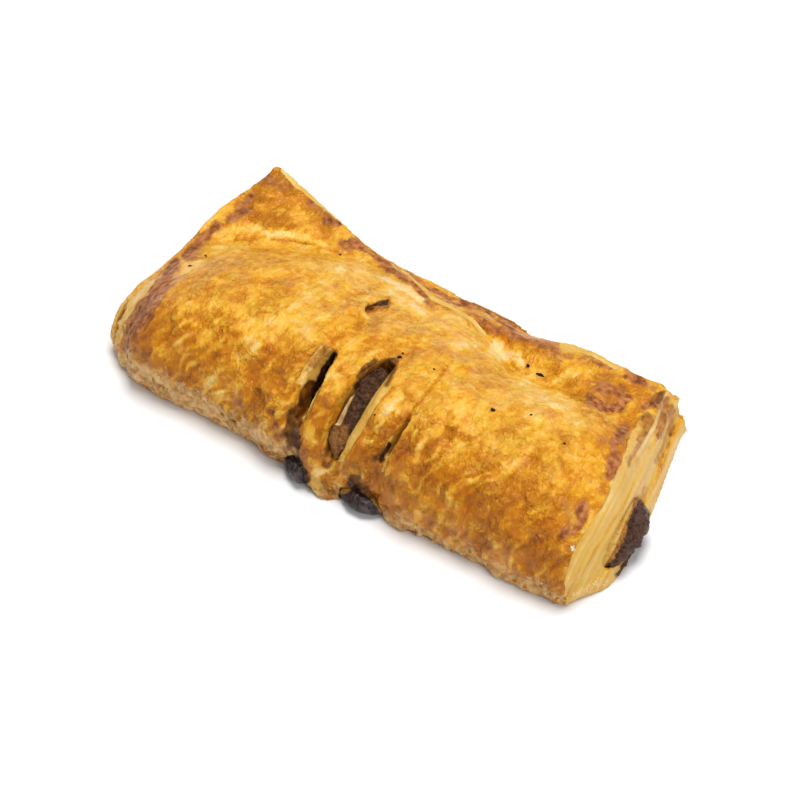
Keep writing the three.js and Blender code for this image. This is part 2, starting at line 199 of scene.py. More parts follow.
@dataclass(frozen=True)
class PhotoView:
    """Where the photograph was taken from."""

    azimuth_deg: float = 34.55
    elevation_deg: float = 47.0
    distance_mm: float = 672.0
    target_mm: Triple = (-1.787, -1.605, 0.0)
    lens_mm: float = 122.3
    sensor_mm: float = 36.0
    image_px: float = 800.0
    clip_start_m: float = 0.01

    def axes(self) -> Array:
        """Rows that point right in the picture, up in the picture and back to the camera.

        Returns:
            The three directions, each one unit long.
        """
        turn = math.radians(self.azimuth_deg)
        rise = math.radians(self.elevation_deg)
        right = (math.cos(turn), math.sin(turn), 0.0)
        back = (math.sin(turn) * math.cos(rise), -math.cos(turn) * math.cos(rise), math.sin(rise))
        return np.array([right, np.cross(back, right), back])

    def place_mm(self) -> Array:
        """Where the camera stands."""
        return np.array(self.target_mm) + self.axes()[2] * self.distance_mm

    def reach_px(self) -> float:
        """Distance from the lens to the picture, in pixels."""
        return self.lens_mm / self.sensor_mm * self.image_px

    def pixels(self, points: Array) -> Array:
        """Where points land in the photograph.

        Args:
            points: Places in millimetres, one row each.

        Returns:
            Pixel across and pixel down for each point.
        """
        across, up, back = ((points - self.place_mm()) @ self.axes().T).T
        middle = self.image_px / 2.0
        reach = self.reach_px()
        return np.stack([middle - reach * across / back, middle + reach * up / back], axis=1)

    def ray(self, pixel: Pixel) -> Array:
        """Direction from the camera through one pixel of the photograph.

        Args:
            pixel: Pixel across and pixel down.

        Returns:
            The direction, one unit long.
        """
        middle = self.image_px / 2.0
        aim = np.array([pixel[0] - middle, middle - pixel[1], -self.reach_px()]) @ self.axes()
        return aim / np.linalg.norm(aim)

    def make_camera(self) -> None:
        """Adds the camera and makes it the scene's own."""
        bpy.ops.object.camera_add(location=tuple(self.place_mm() * MM))
        camera = bpy.context.object
        camera.name = "photo_camera"
        camera.rotation_euler = Matrix(self.axes().T.tolist()).to_euler()
        camera.data.lens = self.lens_mm
        camera.data.sensor_width = self.sensor_mm
        camera.data.clip_start = self.clip_start_m
        bpy.context.scene.camera = camera


VIEW = PhotoView()


@dataclass(frozen=True)
class Noise:
    """A pattern in a finish: the width of one patch in millimetres, and how many finer fields are added."""

    grain_mm: float
    detail: float


class NodePad:
    """Adds and links the nodes of one material."""

    def __init__(self, name: str) -> None:
        """Starts a material with an empty surface.

        Args:
            name: The material's name.
        """
        self.material = bpy.data.materials.new(name)
        self.material.use_nodes = True
        self.tree = self.material.node_tree
        self.surface = self.tree.nodes["Principled BSDF"]
        self.place = self.tree.nodes.new("ShaderNodeTexCoord").outputs["Object"]

    def feed(self, node: bpy.types.Node, values: Inputs) -> None:
        """Links a node's inputs to other sockets, or sets them to plain values.

        Args:
            node: The node that is fed.
            values: An output socket, a number, a vector or a colour for each input's name or number.
        """
        for name, value in values.items():
            if isinstance(value, Socket):
                self.tree.links.new(value, node.inputs[name])
            else:
                node.inputs[name].default_value = value

    def add(self, kind: str, output: str | int, values: Inputs, **settings: object) -> Socket:
        """Adds a node.

        Args:
            kind: The node's type, without what all types begin with.
            output: Name or number of the output that is used.
            values: What its inputs are fed.
            settings: Its own settings.

        Returns:
            The output's socket.
        """
        node = self.tree.nodes.new("ShaderNode" + kind)
        for name, setting in settings.items():
            setattr(node, name, setting)
        self.feed(node, values)
        return node.outputs[output]

    def attribute(self, name: str) -> Socket:
        """Reads a value that the mesh holds at each point."""
        return self.add("Attribute", "Fac", {}, attribute_name=name)

    def stretch(self, scale: Triple, vector: Socket | None = None) -> Socket:
        """Coordinates on which a pattern is closer along x, y and z by a scale."""
        return self.add("Mapping", "Vector", {"Vector": vector or self.place, "Scale": scale})

    def noise(self, noise: Noise, vector: Socket | None = None, output: str = "Fac") -> Socket:
        """Noise from 0 to 1 on the object's coordinates, or on others that are given in metres."""
        size = {"Scale": 1.0 / (noise.grain_mm * MM), "Detail": noise.detail}
        return self.add("TexNoise", output, {"Vector": vector or self.place, **size})

    def warp(self, waves: Noise, shift_mm: float) -> Socket:
        """Object coordinates that wander in waves, so that a pattern on them looks kneaded."""
        values = {0: self.noise(waves, output="Color"), 1: (shift_mm * MM,) * 3, 2: self.place}
        return self.add("VectorMath", "Vector", values, operation="MULTIPLY_ADD")

    def math(self, kind: str, first: object, second: object) -> Socket:
        """One sum of two values, such as ADD or MULTIPLY."""
        return self.add("Math", "Value", {0: first, 1: second}, operation=kind)

    def spread(self, value: Socket, span: Span, to: Span = WHOLE) -> Socket:
        """Moves a value smoothly from one range to another, and keeps it there."""
        ends = dict(zip(("From Min", "From Max", "To Min", "To Max"), (*span, *to)))
        return self.add("MapRange", "Result", {"Value": value, **ends}, interpolation_type="SMOOTHSTEP")

    def add_part(self, value: object, part: Socket, strength: float) -> Socket:
        """Adds a noise to a value in a given strength, so that the noise's middle adds nothing."""
        centred = self.math("SUBTRACT", part, NOISE_MIDDLE)
        return self.math("ADD", value, self.math("MULTIPLY", centred, strength))

    def ramp(self, value: Socket, stops: Stops) -> Socket:
        """Turns a value into a colour.

        Args:
            value: The value's socket.
            stops: Places from 0 to 1 and their colours.

        Returns:
            The colour's socket.
        """
        node = self.tree.nodes.new("ShaderNodeValToRGB")
        elements = node.color_ramp.elements
        while len(elements) < len(stops):
            elements.new(0.5)
        for element, (place, colour) in zip(elements, stops):
            element.position = place
            element.color = (*colour, 1.0)
        self.feed(node, {"Fac": value})
        return node.outputs["Color"]

    def blend(self, share: Socket, first: Socket | Colour, second: Socket | Colour) -> Socket:
        """Mixes two colours, by how much of the second shows."""
        pair = [(*colour, 1.0) if isinstance(colour, tuple) else colour for colour in (first, second)]
        return self.add("Mix", MIX_OUTPUT, {0: share, **dict(zip(MIX_INPUTS, pair))}, data_type="RGBA")

    def slowed(self, level: Socket, start: float, hold: float) -> Socket:
        """Takes away a part, the hold, of a level's rise past a start."""
        excess = self.math("MAXIMUM", self.math("SUBTRACT", level, start), 0.0)
        return self.math("SUBTRACT", level, self.math("MULTIPLY", excess, hold))

    def bump(self, height: Socket, depth_mm: float) -> None:
        """Gives the surface fine relief of a real depth, from a height of 0 to 1."""
        normal = self.add("Bump", "Normal", {"Distance": depth_mm * MM, "Height": height})
        self.feed(self.surface, {"Normal": normal})


@dataclass(frozen=True)
class Coat:
    """What lies over a finish where the mesh holds a value.

    It has the value's name, how ragged its edge is, the span in which it comes to cover, and colours
    for the pattern in it.
    """

    name: str
    raggedness: float
    span: Span
    colours: Stops = ()

    def share(self, pad: NodePad, edge: Socket) -> Socket:
        """How much of the coat shows, with a noise for its edge."""
        return pad.spread(pad.add_part(pad.attribute(self.name), edge, self.raggedness), self.span)

    def over(self, pad: NodePad, colour: Socket, edge: Socket, pattern: Socket) -> Socket:
        """Lays the coat over a colour, with noises for its edge and for the pattern in it."""
        return pad.blend(self.share(pad, edge), colour, pad.ramp(pattern, self.colours))


@dataclass(frozen=True)
class Patches:
    """Flake patches in a finish: their noise, how wide its edge is taken, their browning and their height."""

    noise: Noise
    edge: float
    browning: float
    height: float


@dataclass(frozen=True)
class CrustFinish:
    """Baked dough: cream where it is cut, then yellow, gold, amber and brown where it is baked more.

    A span is where something starts and where it is full. The first two kinds of patches lie on kneaded
    dough, and the third in streaks.
    """

    skin: Stops = (
        (0.04, (0.84, 0.62, 0.26)),
        (0.16, (0.84, 0.50, 0.085)),
        (0.29, (0.77, 0.410, 0.028)),
        (0.41, (0.68, 0.290, 0.012)),
        (0.53, (0.55, 0.190, 0.005)),
        (0.65, (0.45, 0.125, 0.004)),
        (0.80, (0.33, 0.085, 0.004)),
    )
    dry_skin: Stops = (
        (0.04, (0.84, 0.53, 0.23)),
        (0.29, (0.80, 0.350, 0.042)),
        (0.53, (0.60, 0.205, 0.014)),
        (0.80, (0.40, 0.130, 0.020)),
    )
    char: Coat = Coat(
        "char",
        0.9,
        (0.05, 0.75),
        ((0.36, (0.19, 0.046, 0.010)), (0.5, (0.36, 0.115, 0.036)), (0.64, (0.53, 0.205, 0.066))),
    )
    foot: Coat = Coat(
        "foot",
        0.9,
        (0.1, 0.7),
        ((0.35, (0.46, 0.205, 0.055)), (0.5, (0.66, 0.360, 0.120)), (0.65, (0.77, 0.515, 0.225))),
    )
    cut: Coat = Coat(
        "cut",
        0.3,
        (0.2, 0.7),
        (
            (0.30, (0.56, 0.280, 0.030)),
            (0.40, (0.67, 0.380, 0.062)),
            (0.60, (0.72, 0.450, 0.110)),
            (0.72, (0.80, 0.590, 0.220)),
        ),
    )
    # The amber, sauce and stain coats are mostly browning and filling stain; they also colour the painted
    # shade in some slits, cracks and creases.
    amber_and_shade: Coat = Coat("amber_and_shade", 0.5, (0.1, 0.8), ((0.35, (0.24, 0.070, 0.006)), (0.65, (0.52, 0.210, 0.030))))
    sauce_and_shade: Coat = Coat("sauce_and_shade", 0.5, (0.1, 0.8), ((0.35, (0.05, 0.013, 0.002)), (0.65, (0.24, 0.080, 0.009))))
    stain_and_shade: Coat = Coat(
        "stain_and_shade", 0.8, (0.1, 0.95), ((0.35, (0.016, 0.007, 0.006)), (0.65, (0.090, 0.034, 0.024)))
    )
    flour: Coat = Coat("flour", 2.4, (0.6, 1.1))
    flour_colour: Colour = (0.85, 0.76, 0.62)

    mottle: Noise = Noise(1.6, 5.0)
    mottle_browning: float = 0.22
    kneading: Noise = Noise(4.0, 2.0)
    kneading_mm: float = 5.0
    wrinkle: Noise = Noise(1.5, 3.0)
    wrinkle_stretch: Triple = (2.6, 1.0, 1.0)
    wrinkle_paling: float = 0.28
    patches: tuple[Patches, ...] = (
        Patches(Noise(5.0, 4.0), 0.03, 0.07, -0.2),
        Patches(Noise(2.4, 4.0), 0.03, 0.09, -0.14),
        Patches(Noise(6.0, 4.0), 0.06, 0.06, 0.2),
        Patches(Noise(9.0, 4.0), 0.1, 0.05, 0.0),
    )
    streak_stretch: Triple = (3.0, 1.0, 1.0)
    # Small pale flecks that lighten the skin; they partly stand for painted glints.
    fleck: Noise = Noise(0.9, 1.0)
    fleck_span: Span = (0.64, 0.70)
    fleck_paling: Span = (0.0, 0.14)
    browned_from: float = 0.5
    browned_hold: float = 0.5
    dry_patch: Noise = Noise(4.2, 4.0)
    dry_patch_span: Span = (0.45, 0.58)
    dry_patch_part: float = 0.4
    fine_edge: Noise = Noise(0.8, 3.0)
    coarse_edge: Noise = Noise(2.6, 3.0)
    coarse_edge_part: float = 0.9
    powder: Noise = Noise(0.45, 1.0)
    sheet: Noise = Noise(9.0, 1.5)
    sheet_slowness: float = 0.4
    sheet_mottle: float = 0.3

    gloss_levels: Span = (0.3, 0.6)
    gloss_roughness: Span = (0.38, 0.17)
    char_span: Span = (0.2, 0.7)
    char_roughness: Span = (0.0, 0.3)
    shine: float = 0.4
    shine_tint: Colour = (1.0, 0.72, 0.36)
    glow: float = 0.25
    glow_mm: float = 1.2
    glow_reach: Colour = (1.0, 0.4, 0.1)

    relief_mm: float = 1.0
    relief_patch: Noise = Noise(6.0, 2.0)
    relief_patch_span: Span = (0.42, 0.58)
    relief_patch_share: Span = (0.3, 1.0)
    cut_span: Span = (0.2, 0.6)
    cut_relief: Span = (1.0, 0.15)
    baked_span: Span = (0.3, 0.5)
    baked_relief: Span = (0.5, 1.0)
    crumb: Noise = Noise(0.6, 2.0)
    crumb_height: float = 0.22

    def make(self) -> bpy.types.Material:
        """Makes the material.

        Returns:
            The crust's material.
        """
        pad = NodePad("baked_crust")
        mottle = pad.noise(self.mottle)
        kneaded = pad.warp(self.kneading, self.kneading_mm)
        wrinkles = pad.noise(self.wrinkle, pad.stretch(self.wrinkle_stretch, kneaded))
        level, steps = self.baked_level(pad, kneaded, mottle, wrinkles)
        gloss = pad.spread(level, self.gloss_levels, self.gloss_roughness)
        matt = pad.spread(pad.attribute("char"), self.char_span, self.char_roughness)
        surface = {
            "Base Color": self.painted(pad, level, kneaded, mottle),
            "Roughness": pad.math("ADD", gloss, matt),
            "Specular IOR Level": self.shine,
            "Specular Tint": (*self.shine_tint, 1.0),
            "Subsurface Weight": self.glow,
            "Subsurface Scale": self.glow_mm * MM,
            "Subsurface Radius": self.glow_reach,
        }
        pad.feed(pad.surface, surface)
        relief = pad.spread(pad.noise(self.relief_patch), self.relief_patch_span, self.relief_patch_share)
        uncut = pad.spread(pad.attribute("cut"), self.cut_span, self.cut_relief)
        baked = pad.spread(pad.attribute("bake_and_shade"), self.baked_span, self.baked_relief)
        relief = pad.math("MULTIPLY", pad.math("MULTIPLY", relief, uncut), baked)
        crumbs = pad.math("MULTIPLY", pad.noise(self.crumb), self.crumb_height)
        height = pad.math("ADD", pad.math("ADD", wrinkles, crumbs), steps)
        pad.bump(pad.math("MULTIPLY", height, relief), self.relief_mm)
        return pad.material

    def painted(self, pad: NodePad, level: Socket, kneaded: Socket, mottle: Socket) -> Socket:
        """Colour of the skin, with its coats laid over it in turn.

        Args:
            pad: The material that is made.
            level: How far the skin is baked.
            kneaded: Coordinates that wander.
            mottle: Fine unevenness of the skin.

        Returns:
            The colour's socket.
        """
        patches = pad.spread(pad.noise(self.dry_patch, kneaded), self.dry_patch_span)
        dry = pad.add_part(pad.attribute("dry"), patches, self.dry_patch_part)
        colour = pad.blend(dry, pad.ramp(level, self.skin), pad.ramp(level, self.dry_skin))
        ragged = pad.add_part(pad.noise(self.fine_edge), pad.noise(self.coarse_edge), self.coarse_edge_part)
        for coat in (self.char, self.foot):
            colour = coat.over(pad, colour, ragged, mottle)
        sheets = pad.add_part(pad.noise(self.sheet, self.along_sheets(pad)), mottle, self.sheet_mottle)
        colour = self.cut.over(pad, colour, ragged, sheets)
        for coat in (self.amber_and_shade, self.sauce_and_shade, self.stain_and_shade):
            colour = coat.over(pad, colour, ragged, mottle)
        return pad.blend(self.flour.share(pad, pad.noise(self.powder)), colour, self.flour_colour)

    def baked_level(
        self, pad: NodePad, kneaded: Socket, mottle: Socket, wrinkles: Socket
    ) -> tuple[Socket, Socket]:
        """How far the outer skin is baked, with its flake patches, streaks and pale flecks; the pale flecks
        partly paint glints, and the brown marks in the stored level partly paint crease shade.

        Args:
            pad: The material that is made.
            kneaded: Coordinates that wander.
            mottle: Fine unevenness of the skin.
            wrinkles: Fine relief, as what is raised stays paler.

        Returns:
            The level's socket, 0 for raw and 1 for burnt, and the height of the flakes.
        """
        level = pad.attribute("bake_and_shade")
        steps = 0.0
        places = (kneaded, kneaded, pad.stretch(self.streak_stretch), pad.place)
        for patches, place in zip(self.patches, places):
            edge = (NOISE_MIDDLE - patches.edge, NOISE_MIDDLE + patches.edge)
            patch = pad.spread(pad.noise(patches.noise, place), edge)
            level = pad.add_part(level, patch, patches.browning)
            steps = pad.add_part(steps, patch, patches.height)
        level = pad.add_part(level, mottle, self.mottle_browning)
        level = pad.add_part(level, wrinkles, -self.wrinkle_paling)
        pale_fleck_and_glint = pad.spread(pad.noise(self.fleck), self.fleck_span, self.fleck_paling)
        browned = pad.slowed(pad.math("SUBTRACT", level, pale_fleck_and_glint), self.browned_from, self.browned_hold)
        return browned, steps

    def along_sheets(self, pad: NodePad) -> Socket:
        """Coordinates that run slowly along the sheets of dough, and quickly across them.

        Args:
            pad: The material that is made.

        Returns:
            The coordinates' socket, in metres.
        """
        slow = pad.stretch((self.sheet_slowness,) * 3)
        across = pad.math("MULTIPLY", pad.attribute("layer"), self.sheet.grain_mm * MM)
        along = {axis: pad.add("SeparateXYZ", axis, {0: slow}) for axis in ("X", "Y")}
        return pad.add("CombineXYZ", 0, {**along, "Z": across})


@dataclass(frozen=True)
class FillingFinish:
    """Tomato filling: dark and granular inside, purple-black and shiny where it leaked and burnt."""

    paste: Stops = (
        (0.30, (0.022, 0.008, 0.004)),
        (0.48, (0.055, 0.020, 0.009)),
        (0.64, (0.110, 0.042, 0.015)),
        (0.80, (0.30, 0.120, 0.026)),
    )
    burnt: Stops = ((0.3, (0.018, 0.007, 0.006)), (0.7, (0.120, 0.045, 0.026)))
    # Burnt leak colours along the flow: the dark purple-black is the leak's own colour; the lighter grey-pink
    # streaks are partly painted sheen, beside the real reflections.
    leaked: Stops = (
        (0.36, (0.012, 0.007, 0.008)),
        (0.52, (0.034, 0.020, 0.020)),
        (0.68, (0.100, 0.062, 0.058)),
    )
    dough: Coat = Coat("dough", 0.7, (0.3, 0.65), ((0.35, (0.66, 0.36, 0.055)), (0.65, (0.78, 0.52, 0.15))))
    toffee: Coat = Coat("toffee", 0.6, (0.2, 0.7), ((0.35, (0.22, 0.07, 0.008)), (0.65, (0.48, 0.2, 0.03))))
    wall: Coat = Coat("wall", 0.5, (0.3, 0.7), ((0.35, (0.42, 0.235, 0.085)), (0.65, (0.70, 0.500, 0.240))))

    grain: Noise = Noise(1.1, 5.0)
    clump: Noise = Noise(2.6, 2.0)
    clump_part: float = 0.5
    flow: Noise = Noise(2.4, 3.0)
    flow_stretch: Triple = (1.6, 1.0, 0.7)
    flow_waves: Noise = Noise(5.0, 2.0)
    flow_waves_mm: float = 4.0
    dough_patch: Noise = Noise(4.0, 2.0)
    wall_patch: Noise = Noise(2.0, 3.0)

    gloss_grains: Span = (0.35, 0.65)
    gloss_roughness: Span = (0.2, 0.45)
    shine: float = 0.4
    shine_tint: Colour = (1.0, 0.80, 0.62)
    leak_shine_tint: Colour = (0.92, 0.92, 1.0)
    relief_mm: float = 2.0
    wall_relief: Span = (1.0, 0.2)
    leak_relief: Span = (1.0, 0.12)
    leak_wrinkles: Span = (0.0, 0.5)

    def make(self) -> bpy.types.Material:
        """Makes the material.

        Returns:
            The filling's material.
        """
        pad = NodePad("tomato_filling_paste")
        grain = pad.noise(self.grain)
        clumps = pad.add_part(grain, pad.noise(self.clump), self.clump_part)
        level = pad.math("ADD", clumps, pad.attribute("light"))
        colour = pad.blend(pad.attribute("burnt"), pad.ramp(level, self.paste), pad.ramp(grain, self.burnt))
        leak = pad.attribute("leak")
        flowing = pad.warp(self.flow_waves, self.flow_waves_mm)
        flow = pad.noise(self.flow, pad.stretch(self.flow_stretch, flowing))
        colour = pad.blend(leak, colour, pad.ramp(flow, self.leaked))
        dough = pad.ramp(pad.noise(self.dough_patch), self.dough.colours)
        colour = pad.blend(self.dough.share(pad, grain), colour, self.toffee.over(pad, dough, grain, grain))
        colour = self.wall.over(pad, colour, grain, pad.noise(self.wall_patch))
        surface = {
            "Base Color": colour,
            "Roughness": pad.spread(grain, self.gloss_grains, self.gloss_roughness),
            "Specular IOR Level": self.shine,
            "Specular Tint": pad.blend(leak, self.shine_tint, self.leak_shine_tint),
        }
        pad.feed(pad.surface, surface)
        coarse = pad.math("MULTIPLY", grain, pad.spread(self.wall.share(pad, grain), WHOLE, self.wall_relief))
        coarse = pad.math("MULTIPLY", coarse, pad.spread(leak, WHOLE, self.leak_relief))
        wrinkled = pad.math("MULTIPLY", flow, pad.spread(leak, WHOLE, self.leak_wrinkles))
        pad.bump(pad.math("ADD", coarse, wrinkled), self.relief_mm)
        return pad.material


class Tone(Enum):
    """What a stroke leaves on the crust, mostly from the oven and the filling; some brown, amber, sauce and
    stain strokes paint shade in slits, cracks and creases.
    """

    PALE = "bake_less"
    BROWN = "bake_more_and_shade"
    CHAR = "char"
    AMBER_AND_SHADE = "amber_and_shade"
    SAUCE_AND_SHADE = "sauce_and_shade"
    STAIN_AND_SHADE = "stain_and_shade"
    CUT = "cut"
    FOOT = "foot"
    FLOUR = "flour"
    SKIN = "skin"


@dataclass(frozen=True)
class Stroke:
    """A mark on the crust, drawn along photograph pixels.

    A raise in millimetres lifts the dough along the mark, or sinks it where it is below nought. Marks that
    are wide fade out softly, and narrow ones are crisp. A mark fades where the dough is turned away from the
    camera, from a cosine that is given. The parts of its half width up to which it is full, and at which it
    ends, are the same for every mark.
    """

    tone: Tone
    path: tuple[Pixel, ...]
    half_width: float
    strength: float = 1.0
    raise_mm: float = 0.0
    soft_from: float = 4.7
    turned_from: float = -0.2
    crisp_full: float = 0.5
    soft_full: float = 0.1
    end: float = 1.25
    search: float = 1.3
    shortest_run: float = 1e-9

    def share(self, pixels: Array, widen: float = 1.0) -> Array:
        """How strongly the mark covers each point.

        Args:
            pixels: Where the points land in the photograph.
            widen: How many times wider the mark is taken.

        Returns:
            A share from 0 to 1 for each point.
        """
        half_width = self.half_width * widen
        reach = self.search * half_width
        low = np.min(self.path, axis=0) - reach
        high = np.max(self.path, axis=0) + reach
        near = np.all((pixels > low) & (pixels < high), axis=1)
        close = pixels[near]
        gap = np.full(len(close), np.inf)
        for start, end in zip(self.path, self.path[1:] or self.path):
            run = np.array(end) - np.array(start)
            along = np.clip((close - start) @ run / max(run @ run, self.shortest_run), 0.0, 1.0)
            gap = np.minimum(gap, np.linalg.norm(close - start - along[:, None] * run, axis=1))
        share = np.zeros(len(pixels))
        full = self.crisp_full if self.half_width < self.soft_from else self.soft_full
        share[near] = 1.0 - smooth_share(full, self.end, gap / half_width)
        return share


def covered(marks: tuple[Stroke, ...], pixels: Array) -> Array:
    """How strongly the strongest of some marks covers each point."""
    return np.max([mark.share(pixels) for mark in marks], axis=0)


pale_at, brown_and_shade_at, char_at, amber_and_shade_at, sauce_and_shade_at, stain_and_shade_at, cut_at, foot_at, flour_at, skin_at = (
    partial(Stroke, tone) for tone in Tone
)


FLAP_MARKS = (
    cut_at(((284, 170), (297, 185), (315, 198), (329, 210), (346, 225)), 3.4),
    brown_and_shade_at(((274, 178), (290, 198), (306, 206)), 16, 0.6),
    char_at(((268, 179), (281, 185)), 9, 0.6),
    char_at(((284, 182), (292, 188)), 5.0, 0.5),
    brown_and_shade_at(((260, 200), (276, 203)), 7, 0.7),
    brown_and_shade_at(((240, 206), (256, 214)), 9, 0.8),
    char_at(((238, 208), (252, 213)), 7, 0.4),
    brown_and_shade_at(((316, 246), (334, 250)), 8, 0.4),
    char_at(((253, 194), (244, 206)), 6, 0.6),
    stain_and_shade_at(((237, 214), (245, 211)), 3.6, 0.42),
    char_at(((230, 219), (248, 209)), 7, 0.75),
    char_at(((311, 202), (320, 212), (329, 223)), 6.0, 0.5),
    char_at(((324, 222), (338, 223)), 4.6, 0.7),
    brown_and_shade_at(((250, 216), (270, 218), (292, 224)), 12, 0.7),
    brown_and_shade_at(((300, 214), (322, 230)), 13, 0.5),
    pale_at(((226, 231), (246, 229), (262, 230)), 5.0, 0.6),
    pale_at(((268, 234), (290, 235), (308, 239)), 4.0, 0.6),
    # Dark lines along the fold crease under the flap: partly browned dough, partly painted shade in the
    # crease.
    brown_and_shade_at(((271, 239), (291, 240), (309, 243), (325, 247), (342, 253)), 1.5, 0.9, -0.5),
    brown_and_shade_at(((225, 241), (250, 239), (265, 236.5)), 1.5, 0.4, -0.4),
)
LEFT_END_MARKS = (
    char_at(((218, 225), (205, 237)), 6, 0.9),
    char_at(((201, 240), (187, 257)), 7.5, 0.95),
    char_at(((176, 263), (165, 274)), 7, 1.1),
    char_at(((166, 283), (150, 300), (141, 316), (133, 331), (128, 345)), 11, 1.0),
    stain_and_shade_at(((148, 298), (140, 311)), 3, 0.45),
    brown_and_shade_at(((162, 298), (148, 318), (134, 340)), 10, 0.6),
    brown_and_shade_at(((150, 332), (150, 350), (156, 364)), 11, 0.65),
    char_at(((138, 343), (146, 356)), 7, 0.4),
    amber_and_shade_at(((128, 336), (140, 350), (152, 363)), 9, 0.55),
    cut_at(((153, 281), (135, 301), (123, 322), (119, 342)), 2.4, 1.0, 0.15, turned_from=0.1),
    sauce_and_shade_at(((130, 301), (119, 323), (116.5, 342)), 1.1, 0.5, -0.2, turned_from=0.1),
    cut_at(((127, 301), (115.5, 324), (113.5, 341)), 1.6, 0.9, turned_from=0.1),
    cut_at(((118, 353), (130, 357)), 3.0, 0.5),
)
TOP_LEFT_MARKS = (
    brown_and_shade_at(((206, 322), (214, 334)), 10, 0.3),
    brown_and_shade_at(((171, 300), (176, 330)), 8, 0.35),
    brown_and_shade_at(((252, 282), (285, 286)), 9, 0.22),
    pale_at(((334, 272), (312, 290), (298, 318), (262, 327)), 14, 0.55),
    pale_at(((188, 270), (200, 262)), 7, 0.35),
    pale_at(((322, 290), (336, 300)), 9, 0.4),
    brown_and_shade_at(((322, 324), (334, 334)), 9, 0.4),
    brown_and_shade_at(((226, 228), (238, 236)), 8, 0.35),
    brown_and_shade_at(((240, 212), (254, 220)), 9, 0.8),
    brown_and_shade_at(((256, 198), (270, 204)), 8, 0.55),
    brown_and_shade_at(((199, 388), (207, 409)), 1.8, 0.6, -0.3),
    pale_at(((192, 366), (206, 380)), 10, 0.45),
    brown_and_shade_at(((226, 354), (232, 372), (244, 388)), 12, 0.5),
    pale_at(((260, 350), (268, 362)), 9, 0.45),
    char_at(((234, 398), (244, 404)), 4, 0.4),
    brown_and_shade_at(((333, 342), (344, 334)), 2.2, 0.9, -0.5),
    # The small hole: its dark inside, darkest at the upper left, is painted shade over a shallow dent.
    amber_and_shade_at(((369, 310), (377, 307), (386, 304)), 4.6, 1.3, -0.9),
    sauce_and_shade_at(((367, 309), (373, 309)), 2.6, 1.0),
    stain_and_shade_at(((369, 307), (378, 303.5), (387, 300.5)), 1.8, 1.2),
    pale_at(((390, 292), (404, 301), (422, 312)), 8, 0.8),
)
